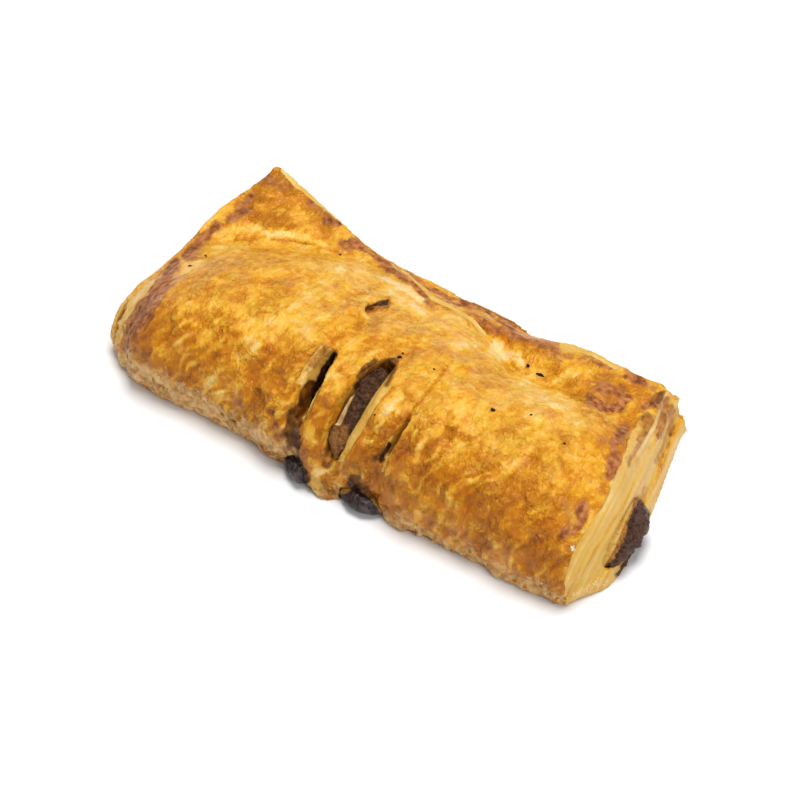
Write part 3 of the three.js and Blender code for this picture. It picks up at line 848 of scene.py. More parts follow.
SLIT_MARKS = (
    pale_at(((262, 385), (272, 391)), 8, 0.8, 0.5),
    brown_and_shade_at(((340, 370), (348, 380)), 6, 0.5),
    # Painted shade in the crease between leak 1 and the cream flake beside it.
    amber_and_shade_at(((326, 482), (331, 493)), 4.5, 0.8),
    brown_and_shade_at(((255, 392), (262, 407), (272, 418)), 5, 0.7, -0.3),
    char_at(((272, 412), (279, 436)), 5.5, 0.6),
    cut_at(((322, 351), (309, 368), (301, 380)), 6.5, 1.0),
    # Slit 1: the black gap is painted shade. The dark lower wall is partly filling stain and partly painted
    # shade. The amber and the light stain over the top of the cream wall are painted shade.
    stain_and_shade_at(((334, 355), (322, 374), (313, 393)), 4.0, 1.1),
    sauce_and_shade_at(((310, 385), (304, 396), (299, 410), (296, 421)), 7.5, 1.2),
    skin_at(((310, 352), (298, 371), (291, 387)), 5.0),
    amber_and_shade_at(((324, 350), (312, 364)), 8, 0.55),
    stain_and_shade_at(((322, 352), (309, 370), (301, 382)), 7, 0.3),
    skin_at(((352, 383), (340, 405), (333, 424)), 5.0),
    brown_and_shade_at(((350, 382), (338, 404), (331, 424)), 3.0, 0.35),
    sauce_and_shade_at(((297, 412), (292, 428), (291, 442)), 9, 1.6, -0.3),
    char_at(((286, 432), (293, 450)), 9, 1.0),
    stain_and_shade_at(((290, 440), (294, 452), (297, 464)), 9, 0.62, -0.3),
    stain_and_shade_at(((290, 462), (298, 470), (303, 480)), 8, 1.2),
    stain_and_shade_at(((303, 482), (314, 496)), 3.5, 0.9),
    # Top of slit 2: partly filling stain and partly painted shadow from the strip's overhanging edge.
    sauce_and_shade_at(((392, 364), (379, 367), (367, 375), (358, 385)), 7, 1.2),
    sauce_and_shade_at(((375, 361), (364, 368), (358, 377)), 3.6, 0.7),
    skin_at(((350, 377), (335, 398), (327, 420), (320, 442), (316, 462)), 8.5),
    pale_at(((317, 410), (309, 440), (312, 465)), 10, 1.0),
    amber_and_shade_at(((337, 426), (331, 444), (327, 460)), 4.5, 1.1),
    amber_and_shade_at(((342, 430), (335, 446), (329, 462)), 7, 1.1),
    sauce_and_shade_at(((337, 425), (330, 440), (325, 455)), 3.6, 0.6),
    pale_at(((398, 396), (380, 420), (366, 444)), 9, 0.85),
    cut_at(((388, 385), (381, 393), (366, 416), (352, 438), (342, 458)), 4.6, 1.0),
    sauce_and_shade_at(((395, 370), (387, 384)), 5, 0.7),
    char_at(((328, 474), (334, 482)), 5, 0.35),
    sauce_and_shade_at(((351, 483), (354, 477), (362, 485), (373, 499)), 6, 0.8),
    stain_and_shade_at(((354, 484), (363, 494), (375, 507)), 6.5, 1.0),
    char_at(((350, 472), (358, 480), (370, 492)), 7, 0.6),
    amber_and_shade_at(((355, 465), (365, 474)), 7, 0.5),
    sauce_and_shade_at(((322, 490), (334, 494)), 4.5, 0.4),
    pale_at(((384, 440), (372, 466), (366, 480)), 8, 0.4),
    # Slit 3: the dark line along its upper crease is partly browned dough and partly painted shade.
    brown_and_shade_at(((447, 366), (433, 385), (411, 411)), 1.8, 0.45, -0.35),
    skin_at(((411, 416), (404, 424), (397, 433)), 6.0),
    pale_at(((412, 416), (402, 436)), 8, 0.6),
    # Painted shade: the dark lower part of slit 3's crack.
    stain_and_shade_at(((390, 445), (386, 451), (381, 461)), 2.8, 1.0, -0.6),
    sauce_and_shade_at(((383, 451), (374, 460)), 5, 0.7),
    cut_at(((397, 440), (391, 452), (383, 471)), 1.9, 0.9),
    brown_and_shade_at(((377, 463), (368, 478)), 5, 0.55),
    cut_at(((312, 481), (321, 488)), 6, 0.85, -0.9),
    cut_at(((337, 482), (346, 490)), 5, 0.6),
)
RIM_MARKS = (
    char_at(((344, 244), (358, 243), (372, 252), (388, 264)), 8, 0.85),
    char_at(((388, 264), (406, 280), (419, 291), (430, 302)), 5, 0.75),
    cut_at(((383, 253), (402, 268), (417, 284), (433, 299)), 1.8, 1.0, 0.15),
    cut_at(((431, 298), (451, 307), (473, 323), (484, 334)), 2.4, 1.0, 0.1),
    pale_at(((385, 279), (406, 291), (424, 303)), 3.4, 1.0, 0.2),
    char_at(((398, 265), (420, 281), (446, 298)), 3.6, 0.6, -0.3),
    char_at(((447, 300), (470, 305), (490, 312), (513, 328)), 4.6, 0.7),
    cut_at(((466, 312), (480, 316), (490, 321)), 1.2, 0.4, 0.1),
    char_at(((474, 320), (496, 331), (520, 338)), 4.5, 0.5, 0.4),
    brown_and_shade_at(((470, 319), (511, 335), (534, 342), (556, 352)), 8, 0.95, 0.4),
    char_at(((518, 337), (536, 344)), 5, 0.4),
    char_at(((543, 347), (560, 360)), 7, 0.55, 0.5),
    pale_at(((497, 346), (512, 357), (522, 364)), 9, 1.5, -0.4),
    pale_at(((534, 370), (556, 380)), 8, 0.7, -0.4),
    cut_at(((564, 347), (584, 350), (602, 357), (616, 366)), 4.4, 1.0),
    char_at(((566, 356), (594, 360), (610, 367)), 3.6, 0.55),
)
RIGHT_END_MARKS = (
    char_at(((590, 399), (602, 409), (618, 408), (627, 398)), 4.6, 1.1, 0.4),
    char_at(((600, 391), (614, 391)), 13, 0.7, 0.3),
    brown_and_shade_at(((602, 388), (620, 390)), 18, 0.6),
    brown_and_shade_at(((572, 388), (584, 404), (600, 420)), 7, 0.4),
    brown_and_shade_at(((638, 386), (646, 400), (630, 418)), 12, 0.9),
    brown_and_shade_at(((622, 430), (612, 470), (592, 502)), 10, 0.5),
    char_at(((625, 427), (614, 445)), 7, 0.85),
    char_at(((616, 453), (612, 474)), 8.5, 0.85),
    char_at(((585, 508), (577, 522), (564, 534)), 10, 0.85),
    char_at(((625, 375), (655, 386)), 6, 0.8),
    char_at(((645, 408), (654, 402), (663, 394)), 6, 1.0),
    stain_and_shade_at(((663, 393), (658, 401)), 4.0, 0.6),
    stain_and_shade_at(((663, 390), (650, 406), (640, 423)), 1.3, 0.5),
    amber_and_shade_at(((666, 401), (672, 413), (671, 431)), 6.0, 1.3, -0.3),
    amber_and_shade_at(((659, 400), (662, 415), (660, 436)), 7.0, 1.3),
    amber_and_shade_at(((671, 431), (665, 447), (657, 462)), 3.6, 0.5, -0.2),
    amber_and_shade_at(((645, 489), (642, 501)), 4.0, 0.5),
    stain_and_shade_at(((645, 516), (643, 532), (637, 553), (622, 574)), 7, 2.0),
    cut_at(((648, 415), (633, 437), (624, 465), (614, 486)), 5, 1.0),
    amber_and_shade_at(((649, 420), (641, 445), (635, 462)), 10, 0.7),
    brown_and_shade_at(((600, 430), (590, 470), (570, 500)), 18, 0.3),
    flour_at(((572, 545), (573, 549)), 3.0, 0.9),
    flour_at(((541, 583), (549, 589)), 6, 0.5),
    flour_at(((566, 596), (583, 594), (603, 583)), 8, 0.55),
)
FRONT_MARKS = (
    pale_at(((520, 380), (545, 396), (570, 412)), 11, 0.5),
    pale_at(((545, 372), (560, 381)), 7, 0.6),
    pale_at(((416, 420), (442, 426)), 10, 0.35),
    pale_at(((484, 468), (494, 476)), 9, 0.4),
    pale_at(((414, 388), (428, 398)), 9, 0.35),
    pale_at(((418, 450), (430, 460)), 9, 0.35),
    brown_and_shade_at(((592, 468), (602, 480)), 9, 0.6),
    brown_and_shade_at(((466, 532), (478, 540)), 9, 0.5),
    pale_at(((546, 514), (556, 522)), 7, 0.3),
    brown_and_shade_at(((562, 462), (574, 480)), 10, 0.6),
    char_at(((566, 508), (574, 524)), 9, 0.55),
    brown_and_shade_at(((498, 338), (510, 350)), 9, 0.4),
    pale_at(((592, 442), (588, 456)), 8, 0.4),
    pale_at(((455, 385), (470, 372)), 14, 0.22),
    brown_and_shade_at(((425, 476), (455, 486), (470, 494)), 12, 0.4),
    brown_and_shade_at(((500, 512), (512, 524), (534, 536)), 12, 0.5),
    brown_and_shade_at(((536, 536), (556, 556)), 12, 0.5),
    brown_and_shade_at(((508, 545), (516, 552)), 6, 0.4),
    brown_and_shade_at(((512, 436), (532, 446), (541, 470), (540, 492)), 17, 0.5),
    brown_and_shade_at(((496, 528), (522, 538)), 11, 0.9),
    pale_at(((410, 428), (418, 452)), 10, 0.5),
    brown_and_shade_at(((545, 418), (562, 440), (572, 464), (592, 470)), 12, 0.35),
    brown_and_shade_at(((398, 465), (409, 474)), 9, 0.5),
    pale_at(((474, 466), (490, 474)), 9, 0.45),
    char_at(((430, 520), (470, 540), (505, 556)), 6, 0.3),
    foot_at(((400, 522), (450, 552), (510, 580), (545, 596)), 12, 0.95),
    foot_at(((128, 362), (165, 390), (200, 402), (250, 432), (285, 452)), 13, 0.95),
)
LEAK_EDGE_MARKS = (
    amber_and_shade_at(((366, 486), (377, 495), (386, 509)), 8.0, soft_from=NEVER_SOFT),
    amber_and_shade_at(((336, 488), (344, 487)), 8.0, soft_from=NEVER_SOFT),
)
BURST_MARKS = (
    stain_and_shade_at(((645, 491), (640, 504), (641, 516)), 4.0, soft_from=NEVER_SOFT),
    stain_and_shade_at(((640, 516), (636, 534), (631, 548), (622, 562), (611, 575)), 11.0, soft_from=NEVER_SOFT),
)
BURST_BAND_MARKS = (
    amber_and_shade_at(
        ((640, 491), (634, 512), (625, 532), (618, 548), (610, 562), (602, 576)), 4.0, soft_from=NEVER_SOFT
    ),
)
LOW_SLIT_MARKS = (sauce_and_shade_at(((342, 434), (337, 446), (330, 464)), 13.0),)
SLIT_WALL_MARKS = (cut_at(((354, 387), (345, 404), (338, 421)), 5.6, soft_from=9.0),)


@dataclass
class MeshWork:
    """One piece's mesh as arrays in millimetres."""

    piece: Piece
    points: Array = field(init=False)
    normals: Array = field(init=False)

    def __post_init__(self) -> None:
        """Takes the points and normals from the mesh."""
        mesh = self.piece.data
        self.points = rows_of(mesh.vertices, "co") / MM
        self.normals = rows_of(mesh.vertex_normals, "vector")

    def write(self) -> None:
        """Puts the points back into the mesh."""
        self.piece.data.vertices.foreach_set("co", (self.points * MM).astype(np.float32).ravel())
        self.piece.data.update()

    def store(self, name: str, values: Array) -> None:
        """Keeps a value at each point, under a name that the material reads."""
        attribute = self.piece.data.attributes.new(name, "FLOAT", "POINT")
        attribute.data.foreach_set("value", values.astype(np.float32))

    def load(self, name: str) -> Array:
        """Takes back the values that were stored under a name.

        Args:
            name: The attribute's name.

        Returns:
            One value for each point.
        """
        values = np.empty(len(self.points), np.float32)
        self.piece.data.attributes[name].data.foreach_get("value", values)
        return values


def rows_of(items: bpy.types.bpy_prop_collection, name: str) -> Array:
    """Reads a vector of each item of a mesh.

    Args:
        items: The mesh's points, normals or faces.
        name: The vector's name.

    Returns:
        One row for each item.
    """
    values = np.empty(len(items) * 3, np.float32)
    items.foreach_get(name, values)
    return values.reshape(-1, 3).astype(float)


def select_only(piece: Piece) -> None:
    """Leaves one object selected and active.

    Args:
        piece: The object.
    """
    bpy.ops.object.select_all(action="DESELECT")
    piece.select_set(True)
    bpy.context.view_layer.objects.active = piece


def copy_of_node(node: str, name: str) -> Piece:
    """Copies a solid's mesh into a new piece and merges its loose triangles.

    Args:
        node: The solid's name.
        name: The new piece's name.

    Returns:
        The new piece.
    """
    piece = bpy.data.objects.new(name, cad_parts[node].data.copy())
    bpy.context.scene.collection.objects.link(piece)
    piece.data.materials.clear()
    select_only(piece)
    bpy.ops.object.mode_set(mode="EDIT")
    bpy.ops.mesh.select_all(action="SELECT")
    bpy.ops.mesh.remove_doubles(threshold=MERGE_MM * MM)
    bpy.ops.object.mode_set(mode="OBJECT")
    return piece


def apply_modifier(piece: Piece, kind: str, **settings: object) -> None:
    """Adds a modifier to a piece and applies it.

    Args:
        piece: The piece.
        kind: The modifier's type.
        settings: The modifier's own values.
    """
    select_only(piece)
    modifier = piece.modifiers.new(kind.lower(), kind)
    for name, value in settings.items():
        setattr(modifier, name, value)
    bpy.ops.object.modifier_apply(modifier=modifier.name)


def fine_copy(node: str, name: str, voxel_mm: float, smooth_rounds: int) -> Piece:
    """Copies a solid with an even, fine mesh that can take relief.

    Args:
        node: The solid's name.
        name: The new piece's name.
        voxel_mm: Usual width of one face.
        smooth_rounds: How often the mesh is smoothed.

    Returns:
        The new piece.
    """
    piece = copy_of_node(node, name)
    apply_modifier(piece, "REMESH", mode="VOXEL", voxel_size=voxel_mm * MM)
    apply_modifier(piece, "SMOOTH", factor=SMOOTH_FACTOR, iterations=smooth_rounds)
    return piece


def select_faces(piece: Piece, chosen: Array) -> None:
    """Selects faces and opens edit mode.

    Args:
        piece: The piece.
        chosen: True for each face to select.
    """
    select_only(piece)
    bpy.ops.object.mode_set(mode="EDIT")
    bpy.ops.mesh.select_mode(type="FACE")
    bpy.ops.mesh.select_all(action="DESELECT")
    bpy.ops.object.mode_set(mode="OBJECT")
    piece.data.polygons.foreach_set("select", chosen)
    bpy.ops.object.mode_set(mode="EDIT")


def face_arrays(piece: Piece) -> tuple[Array, Array]:
    """Middles in millimetres, and normals, of a piece's faces."""
    faces = piece.data.polygons
    return rows_of(faces, "center") / MM, rows_of(faces, "normal")


@dataclass(frozen=True)
class Slit:
    """One cut across the fold: where it runs and how far its walls reach from its line, in millimetres."""

    top: Spot
    foot: Spot
    foot_z: float
    reach: float
    side_fade: Span = (0.8, 1.0)
    end_fade_mm: Span = (0.5, 2.0)
    below_mm: float = 1.0

    def nearness(self, points: Array) -> Array:
        """How close points are to the cut.

        Args:
            points: Places in millimetres, one row each.

        Returns:
            A share from 0 to 1 for each point.
        """
        along = np.clip((points[:, 1] - self.top[1]) / (self.foot[1] - self.top[1]), 0.0, 1.0)
        line = self.top[0] + (self.foot[0] - self.top[0]) * along
        beside = 1.0 - smooth_share(*self.side_fade, np.abs(points[:, 0] - line) / self.reach)
        ahead = 1.0 - smooth_share(*self.end_fade_mm, points[:, 1] - self.top[1])
        return beside * ahead * (points[:, 2] > self.foot_z - self.below_mm)


@dataclass(frozen=True)
class Lump:
    """A lump of filling that leaked out: its middle and half sizes in millimetres."""

    middle: Triple
    half: Triple
    fade: Span = (0.9, 1.1)

    def nearness(self, points: Array) -> Array:
        """Share from 0 to 1 for how close each point is to the lump."""
        gap = np.linalg.norm((points - np.array(self.middle)) / np.array(self.half), axis=1)
        return 1.0 - smooth_share(*self.fade, gap)


@dataclass
class Crust:
    """The folded, sealed and slit pastry, with its flap, rim, cut end and flaky walls.

    A facing span is the part of a normal where a share starts and where it is full. A relief, paling or
    browning of two values is a strength on the whole skin and what the front adds to it.
    """

    voxel_mm: float = 0.52
    smooth_rounds: int = 6
    hidden_keep: float = 0.06
    core_middle: Triple = (3.0, -10.0, 12.0)
    core_half: Triple = (61.5, 19.6, 8.3)
    core_power: float = 2.6
    thinned_base_facing: float = -0.9
    thinned_base_z: float = 0.6
    flat_base_facing: float = -0.75
    flat_base_z: float = 1.0

    right_facing: Span = (0.62, 0.76)
    right_from_x: float = 48.0
    left_facing: Span = (0.72, 0.86)
    left_to_x: float = -58.0
    left_top_z: Span = (8.0, 11.0)
    back_facing: Span = (0.55, 0.75)
    back_from_y: float = 14.0
    back_to_z: float = 18.0
    front_facing: Span = (0.1, 0.8)
    foot_z: Span = (2.0, 5.5)
    foot_facing: float = 0.6
    foot_share: float = 0.7
    wall_facing: Span = (0.5, 0.7)
    wall_from_z: float = 2.0
    slits: tuple[Slit, ...] = (
        Slit((-10.7, -16.4), (-9.4, -34.5), 15.5, 3.3),
        Slit((2.9, -11.5), (1.7, -36.0), 9.8, 5.0),
        Slit((16.5, -22.2), (14.1, -34.0), 15.0, 1.8),
    )

    sheets: float = 24.0
    end_sheet_px: float = 4.5
    across_end_px: Pixel = (0.892, 0.451)
    sheet_waves: tuple[Grain, ...] = (Grain(14.0, 11, 2, 0.4), Grain(4.0, 15, 1, 0.3))
    sheet_run_mm: float = 30.0
    sheet_grain: Grain = Grain((1.0, 1.0, 2.0), 21, 2)
    cut_relief_mm: float = 0.22
    right_smoothing_mm: float = 0.17
    edge_relief_mm: float = 0.3
    height_cell_mm: float = 2.0
    height_margin_mm: float = 8.0
    inward_mm: float = 5.0
    least_top_mm: float = 6.0

    kneading: tuple[Grain, ...] = tuple(Grain(5.0, seed, 2, 1.5) for seed in (43, 45, 47))
    lump_mm: Triple = (4.5, 8.0, 8.0)
    lump_seed: int = 41
    lump_relief_mm: Span = (0.3, 0.5)
    lump_paling: Span = (0.08, 0.26)
    lump_paling_less_left: float = 0.16
    flake_grain: Grain = Grain((7.0, 11.0, 11.0), 51, 3)
    flake_edge: Span = (0.0, 0.12)
    flake_relief_mm: float = 0.16
    flake_paling: float = 0.05
    streak_grain: Grain = Grain((1.3, 4.0, 4.0), 75, 3)
    streak_slant: float = 0.35
    streak_relief_mm: Span = (0.08, 0.22)
    streak_browning: Span = (0.06, 0.26)
    swelling: Grain = Grain(6.0, 31, 1, 0.3)
    foot_grain: Grain = Grain((2.4, 2.4, 1.2), 61, 2, 0.35)

    bake_base: float = 0.35
    bake_front: float = 0.29
    bake_front_less_left: float = 0.12
    left_fade_x: Span = (-35.0, -5.0)
    bake_grain: Grain = Grain(14.0, 71, 3, 0.07)
    brown_step: float = 0.3
    pale_step: float = 0.28
    scorch_step: float = 0.1
    dry_base: float = 0.2
    dry_front: float = 0.5
    dry_less_high: float = 0.35
    dry_fade_z: Span = (4.0, 12.0)

    marks: tuple[Stroke, ...] = (
        FLAP_MARKS + LEFT_END_MARKS + TOP_LEFT_MARKS + SLIT_MARKS + RIM_MARKS + RIGHT_END_MARKS + FRONT_MARKS
    )
    scorching: tuple[Tone, ...] = (Tone.CHAR, Tone.STAIN_AND_SHADE)
    scorch_width: float = 2.2
    turned_fade: float = 0.22
    wander: tuple[Grain, ...] = tuple(Grain(3.5, seed, 4) for seed in (101, 103))
    wander_px: float = 0.4
    wander_wide: float = 0.5
    wander_wide_from_px: float = 3.0
    char_grain: Grain = Grain(2.0, 133, 3, 0.5)
    char_limits: Span = (0.6, 1.3)
    amber_grain: Grain = Grain((1.0, 1.0, 0.8), 25, 2)
    amber_span: Span = (-0.3, 0.2)
    amber_loss: float = 0.6
    gap_span: Span = (0.0, 0.5)
    gap_amber: float = 0.7

    leaks: tuple[Lump, ...] = (
        Lump((-6.9, -34.4, 2.4), (5.4, 5.2, 3.8)),
        Lump((10.3, -34.0, 2.2), (7.2, 4.9, 3.5)),
    )
    soaked_from_z: float = 0.3
    soaked_stain: float = 0.9
    soaked_sauce: float = 1.2
    stain_wrinkles: Grain = Grain((3.0, 1.4, 1.4), 141, 2, 0.5)
    finish: CrustFinish = CrustFinish()

    def build(self) -> Piece:
        """Makes the crust.

        Returns:
            The finished piece.
        """
        piece = fine_copy("pastry_crust", "crust", self.voxel_mm, self.smooth_rounds)
        self.thin_hidden_faces(piece)
        self.shape_and_tint(piece)
        select_only(piece)
        bpy.ops.object.shade_smooth()
        piece.data.materials.append(self.finish.make())
        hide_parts("pastry_crust")
        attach(piece, "root")
        return piece

    def in_core(self, points: Array) -> Array:
        """Which points lie in the hollow that the filling takes up."""
        gap = np.abs(points - np.array(self.core_middle)) / np.array(self.core_half)
        return np.sum(gap**self.core_power, axis=1) < 1.0

    def thin_hidden_faces(self, piece: Piece) -> None:
        """Leaves fewer faces where nothing shows: on the flat base and in the hollow.

        Args:
            piece: The crust.
        """
        middles, facing = face_arrays(piece)
        base = (facing[:, 2] < self.thinned_base_facing) & (middles[:, 2] < self.thinned_base_z)
        select_faces(piece, self.in_core(middles) | base)
        bpy.ops.mesh.decimate(ratio=self.hidden_keep)
        bpy.ops.object.mode_set(mode="OBJECT")

    def right_end(self, points: Array, normals: Array) -> Array:
        """How much each point belongs to the cut right end."""
        return smooth_share(*self.right_facing, normals[:, 0]) * (points[:, 0] > self.right_from_x)

    def left_end(self, points: Array, normals: Array) -> Array:
        """How much each point belongs to the layered left end."""
        low = 1.0 - smooth_share(*self.left_top_z, points[:, 2])
        return smooth_share(*self.left_facing, -normals[:, 0]) * (points[:, 0] < self.left_to_x) * low

    def back_edge(self, points: Array, normals: Array) -> Array:
        """How much each point belongs to the layered back edge."""
        inside = (points[:, 1] > self.back_from_y) & (points[:, 2] < self.back_to_z)
        return smooth_share(*self.back_facing, normals[:, 1]) * inside

    def slit_walls(self, points: Array, normals: Array) -> Array:
        """How much each point belongs to a slit's torn wall."""
        upright = smooth_share(*self.wall_facing, np.abs(normals[:, 0])) * (points[:, 2] > self.wall_from_z)
        return upright * np.max([slit.nearness(points) for slit in self.slits], axis=0)

    def cut_share(self, points: Array, normals: Array) -> Array:
        """How much each point shows the sheets of the dough."""
        places = (self.right_end, self.left_end, self.back_edge, self.slit_walls)
        return np.max([place(points, normals) for place in places], axis=0)

    def top_height(self, points: Array, normals: Array) -> Array:
        """Height of the crust just inside each point, for counting sheets up a wall.

        Args:
            points: Places in millimetres, one row each.
            normals: Which way the surface faces there.

        Returns:
            A height in millimetres for each point.
        """
        flat = points[:, :2]
        origin = flat.min(axis=0) - self.height_margin_mm
        span = flat.max(axis=0) + self.height_margin_mm - origin
        shape = np.ceil(span / self.height_cell_mm).astype(int) + 1
        heights = np.zeros(shape)
        cells = ((flat - origin) / self.height_cell_mm).astype(int)
        np.maximum.at(heights, (cells[:, 0], cells[:, 1]), points[:, 2])
        inward = flat - self.inward_mm * normals[:, :2]
        found = np.clip(((inward - origin) / self.height_cell_mm).astype(int), 1, shape - 2)
        steps = np.array(list(np.ndindex(3, 3))) - 1
        around = [heights[found[:, 0] + across, found[:, 1] + along] for across, along in steps]
        return np.maximum(np.mean(around, axis=0), self.least_top_mm)

    def sheet_layers(self, points: Array, normals: Array, pixels: Array, right: Array) -> Array:
        """Which sheet of the dough each point lies on, counted up the walls and across the cut right end.

        Args:
            points: Places in millimetres, one row each.
            normals: Which way the surface faces there.
            pixels: Where the points land in the photograph.
            right: How much each point belongs to the right end.

        Returns:
            A sheet's number, with parts, for each point.
        """
        upward = self.sheets * points[:, 2] / self.top_height(points, normals)
        across = pixels @ np.array(self.across_end_px) / self.end_sheet_px
        waves = sum(grain.at(points) for grain in self.sheet_waves)
        return np.where(right > 0.0, across, upward) + waves

    def bake_level(self, points: Array, front: Array, lumps: Array, flakes: Array, streaks: Array) -> Array:
        """How far the skin is baked before any mark is drawn on it.

        Args:
            points: Places in millimetres, one row each.
            front: How much each point faces the front.
            lumps: Height of the lumps, which stay paler.
            flakes: Where flakes lie, which stay paler.
            streaks: Streaks that run down the front.

        Returns:
            A level for each point, 0 for raw and 1 for burnt.
        """
        left = 1.0 - smooth_share(*self.left_fade_x, points[:, 0])
        bake_and_shade = self.bake_base + (self.bake_front - self.bake_front_less_left * left) * front
        all_over, on_front = self.lump_paling
        paling = all_over + (on_front - self.lump_paling_less_left * left) * front
        bake_and_shade += self.bake_grain.at(points) - paling * lumps - self.flake_paling * flakes
        return bake_and_shade + with_front(self.streak_browning, front) * streaks

    def paint(self, points: Array, pixels: Array, turned: Array) -> tuple[dict[Tone, Array], Array, Array]:
        """Draws the marks on the dough.

        Args:
            points: Places in millimetres, one row each.
            pixels: Where the points land in the photograph.
            turned: Cosine of the angle between the surface and the camera.

        Returns:
            Each tone's strength, how scorched the dough around the dark marks is, and how far marks lift it.
        """
        tints = {tone: np.zeros(len(points)) for tone in Tone}
        scorched = np.zeros(len(points))
        lifted = np.zeros(len(points))
        wander = columns(self.wander, points)
        for mark in self.marks:
            wide_px = max(mark.half_width - self.wander_wide_from_px, 0.0)
            wandered = pixels + wander * (self.wander_px + self.wander_wide * wide_px)
            facing = smooth_share(mark.turned_from, mark.turned_from + self.turned_fade, turned)
            share = mark.share(wandered) * facing
            tints[mark.tone] = np.maximum(tints[mark.tone], mark.strength * share)
            lifted += mark.raise_mm * share
            if mark.tone in self.scorching:
                spill = min(mark.strength, 1.0) * mark.share(wandered, self.scorch_width)
                scorched = np.maximum(scorched, spill * facing)
        tints[Tone.CHAR] *= np.clip(1.0 + self.char_grain.at(points), *self.char_limits)
        return tints, scorched, lifted

    def soak(self, tints: dict[Tone, Array], points: Array, pixels: Array) -> None:
        """Stains the dough around the leaks, apart from their clean edges.

        Args:
            tints: Each tone's strength, which is changed.
            points: Places in millimetres, one row each.
            pixels: Where the points land in the photograph.
        """
        near = np.max([leak.nearness(points) for leak in self.leaks], axis=0)
        soaked = near * (points[:, 2] > self.soaked_from_z) * (1.0 - covered(LEAK_EDGE_MARKS, pixels))
        for tone, strength in ((Tone.STAIN_AND_SHADE, self.soaked_stain), (Tone.SAUCE_AND_SHADE, self.soaked_sauce)):
            tints[tone] = np.maximum(tints[tone], strength * soaked)

    def shape_and_tint(self, piece: Piece) -> None:
        """Raises the flakes, blisters and sheets, and stores how the dough is baked.

        Args:
            piece: The crust.
        """
        work = MeshWork(piece)
        points = work.points.copy()
        normals = work.normals.copy()
        pixels = VIEW.pixels(points)
        base = (normals[:, 2] < self.flat_base_facing) & (points[:, 2] < self.flat_base_z)
        shown = 1.0 - (self.in_core(points) | base)
        cut = self.cut_share(points, normals) * shown
        right = self.right_end(points, normals) * shown
        edge = np.maximum(self.left_end(points, normals), self.back_edge(points, normals)) * shown
        skin = shown * (1.0 - cut)
        front = smooth_share(*self.front_facing, -normals[:, 1])
        low = 1.0 - smooth_share(*self.foot_z, points[:, 2])
        foot = low * skin * (normals[:, 2] < self.foot_facing)

        layer = self.sheet_layers(points, normals, pixels, right)
        sheet_points = np.column_stack([points[:, :2] / self.sheet_run_mm, layer])
        sheet_relief = self.sheet_grain.at(sheet_points)
        kneaded = points + columns(self.kneading, points)
        lumps = flake_field(kneaded, self.lump_mm, self.lump_seed) - NOISE_MIDDLE
        flakes = smooth_share(*self.flake_edge, self.flake_grain.at(points))
        slant = self.streak_slant * (kneaded[:, 1] + kneaded[:, 2])
        streaks = self.streak_grain.at(kneaded - np.outer(slant, (1.0, 0.0, 0.0)))

        tints, scorched, lifted = self.paint(points, pixels, normals @ VIEW.axes()[2])
        self.soak(tints, points, pixels)
        amber_streaks = smooth_share(*self.amber_span, self.amber_grain.at(sheet_points))
        tints[Tone.AMBER_AND_SHADE] *= 1.0 - self.amber_loss * right * (1.0 - amber_streaks)
        between_sheets = edge * smooth_share(*self.gap_span, -sheet_relief)
        tints[Tone.AMBER_AND_SHADE] = np.maximum(tints[Tone.AMBER_AND_SHADE], self.gap_amber * between_sheets)
        bake_and_shade = self.bake_level(points, front, lumps, flakes, streaks) + self.scorch_step * scorched
        # Brown marks darken the level; along a few creases that darkening is painted shade.
        bake_and_shade += self.brown_step * tints[Tone.BROWN] - self.pale_step * tints[Tone.PALE]
        moist = self.dry_less_high * smooth_share(*self.dry_fade_z, points[:, 2])

        sheet_mm = cut * (self.cut_relief_mm - self.right_smoothing_mm * right) + self.edge_relief_mm * edge
        skin_mm = with_front(self.lump_relief_mm, front) * lumps + self.flake_relief_mm * flakes
        skin_mm += self.swelling.at(points) - with_front(self.streak_relief_mm, front) * streaks
        raised = sheet_mm * sheet_relief + skin * skin_mm + foot * self.foot_grain.at(points)
        raised += lifted * shown + np.minimum(tints[Tone.STAIN_AND_SHADE], 1.0) * self.stain_wrinkles.at(points)
        work.points += normals * raised[:, None]
        work.points[:, 2] = np.maximum(work.points[:, 2], 0.0)
        work.write()
        work.store("bake_and_shade", bake_and_shade)
        work.store("dry", self.dry_base + front * (self.dry_front - moist))
        work.store("layer", layer)
        work.store("cut", np.maximum(cut * (1.0 - tints[Tone.SKIN]), tints[Tone.CUT]))
        work.store("foot", np.maximum(foot * self.foot_share, tints[Tone.FOOT]))
        for tone in (Tone.CHAR, Tone.AMBER_AND_SHADE, Tone.SAUCE_AND_SHADE, Tone.STAIN_AND_SHADE, Tone.FLOUR):
            work.store(tone.value, tints[tone])


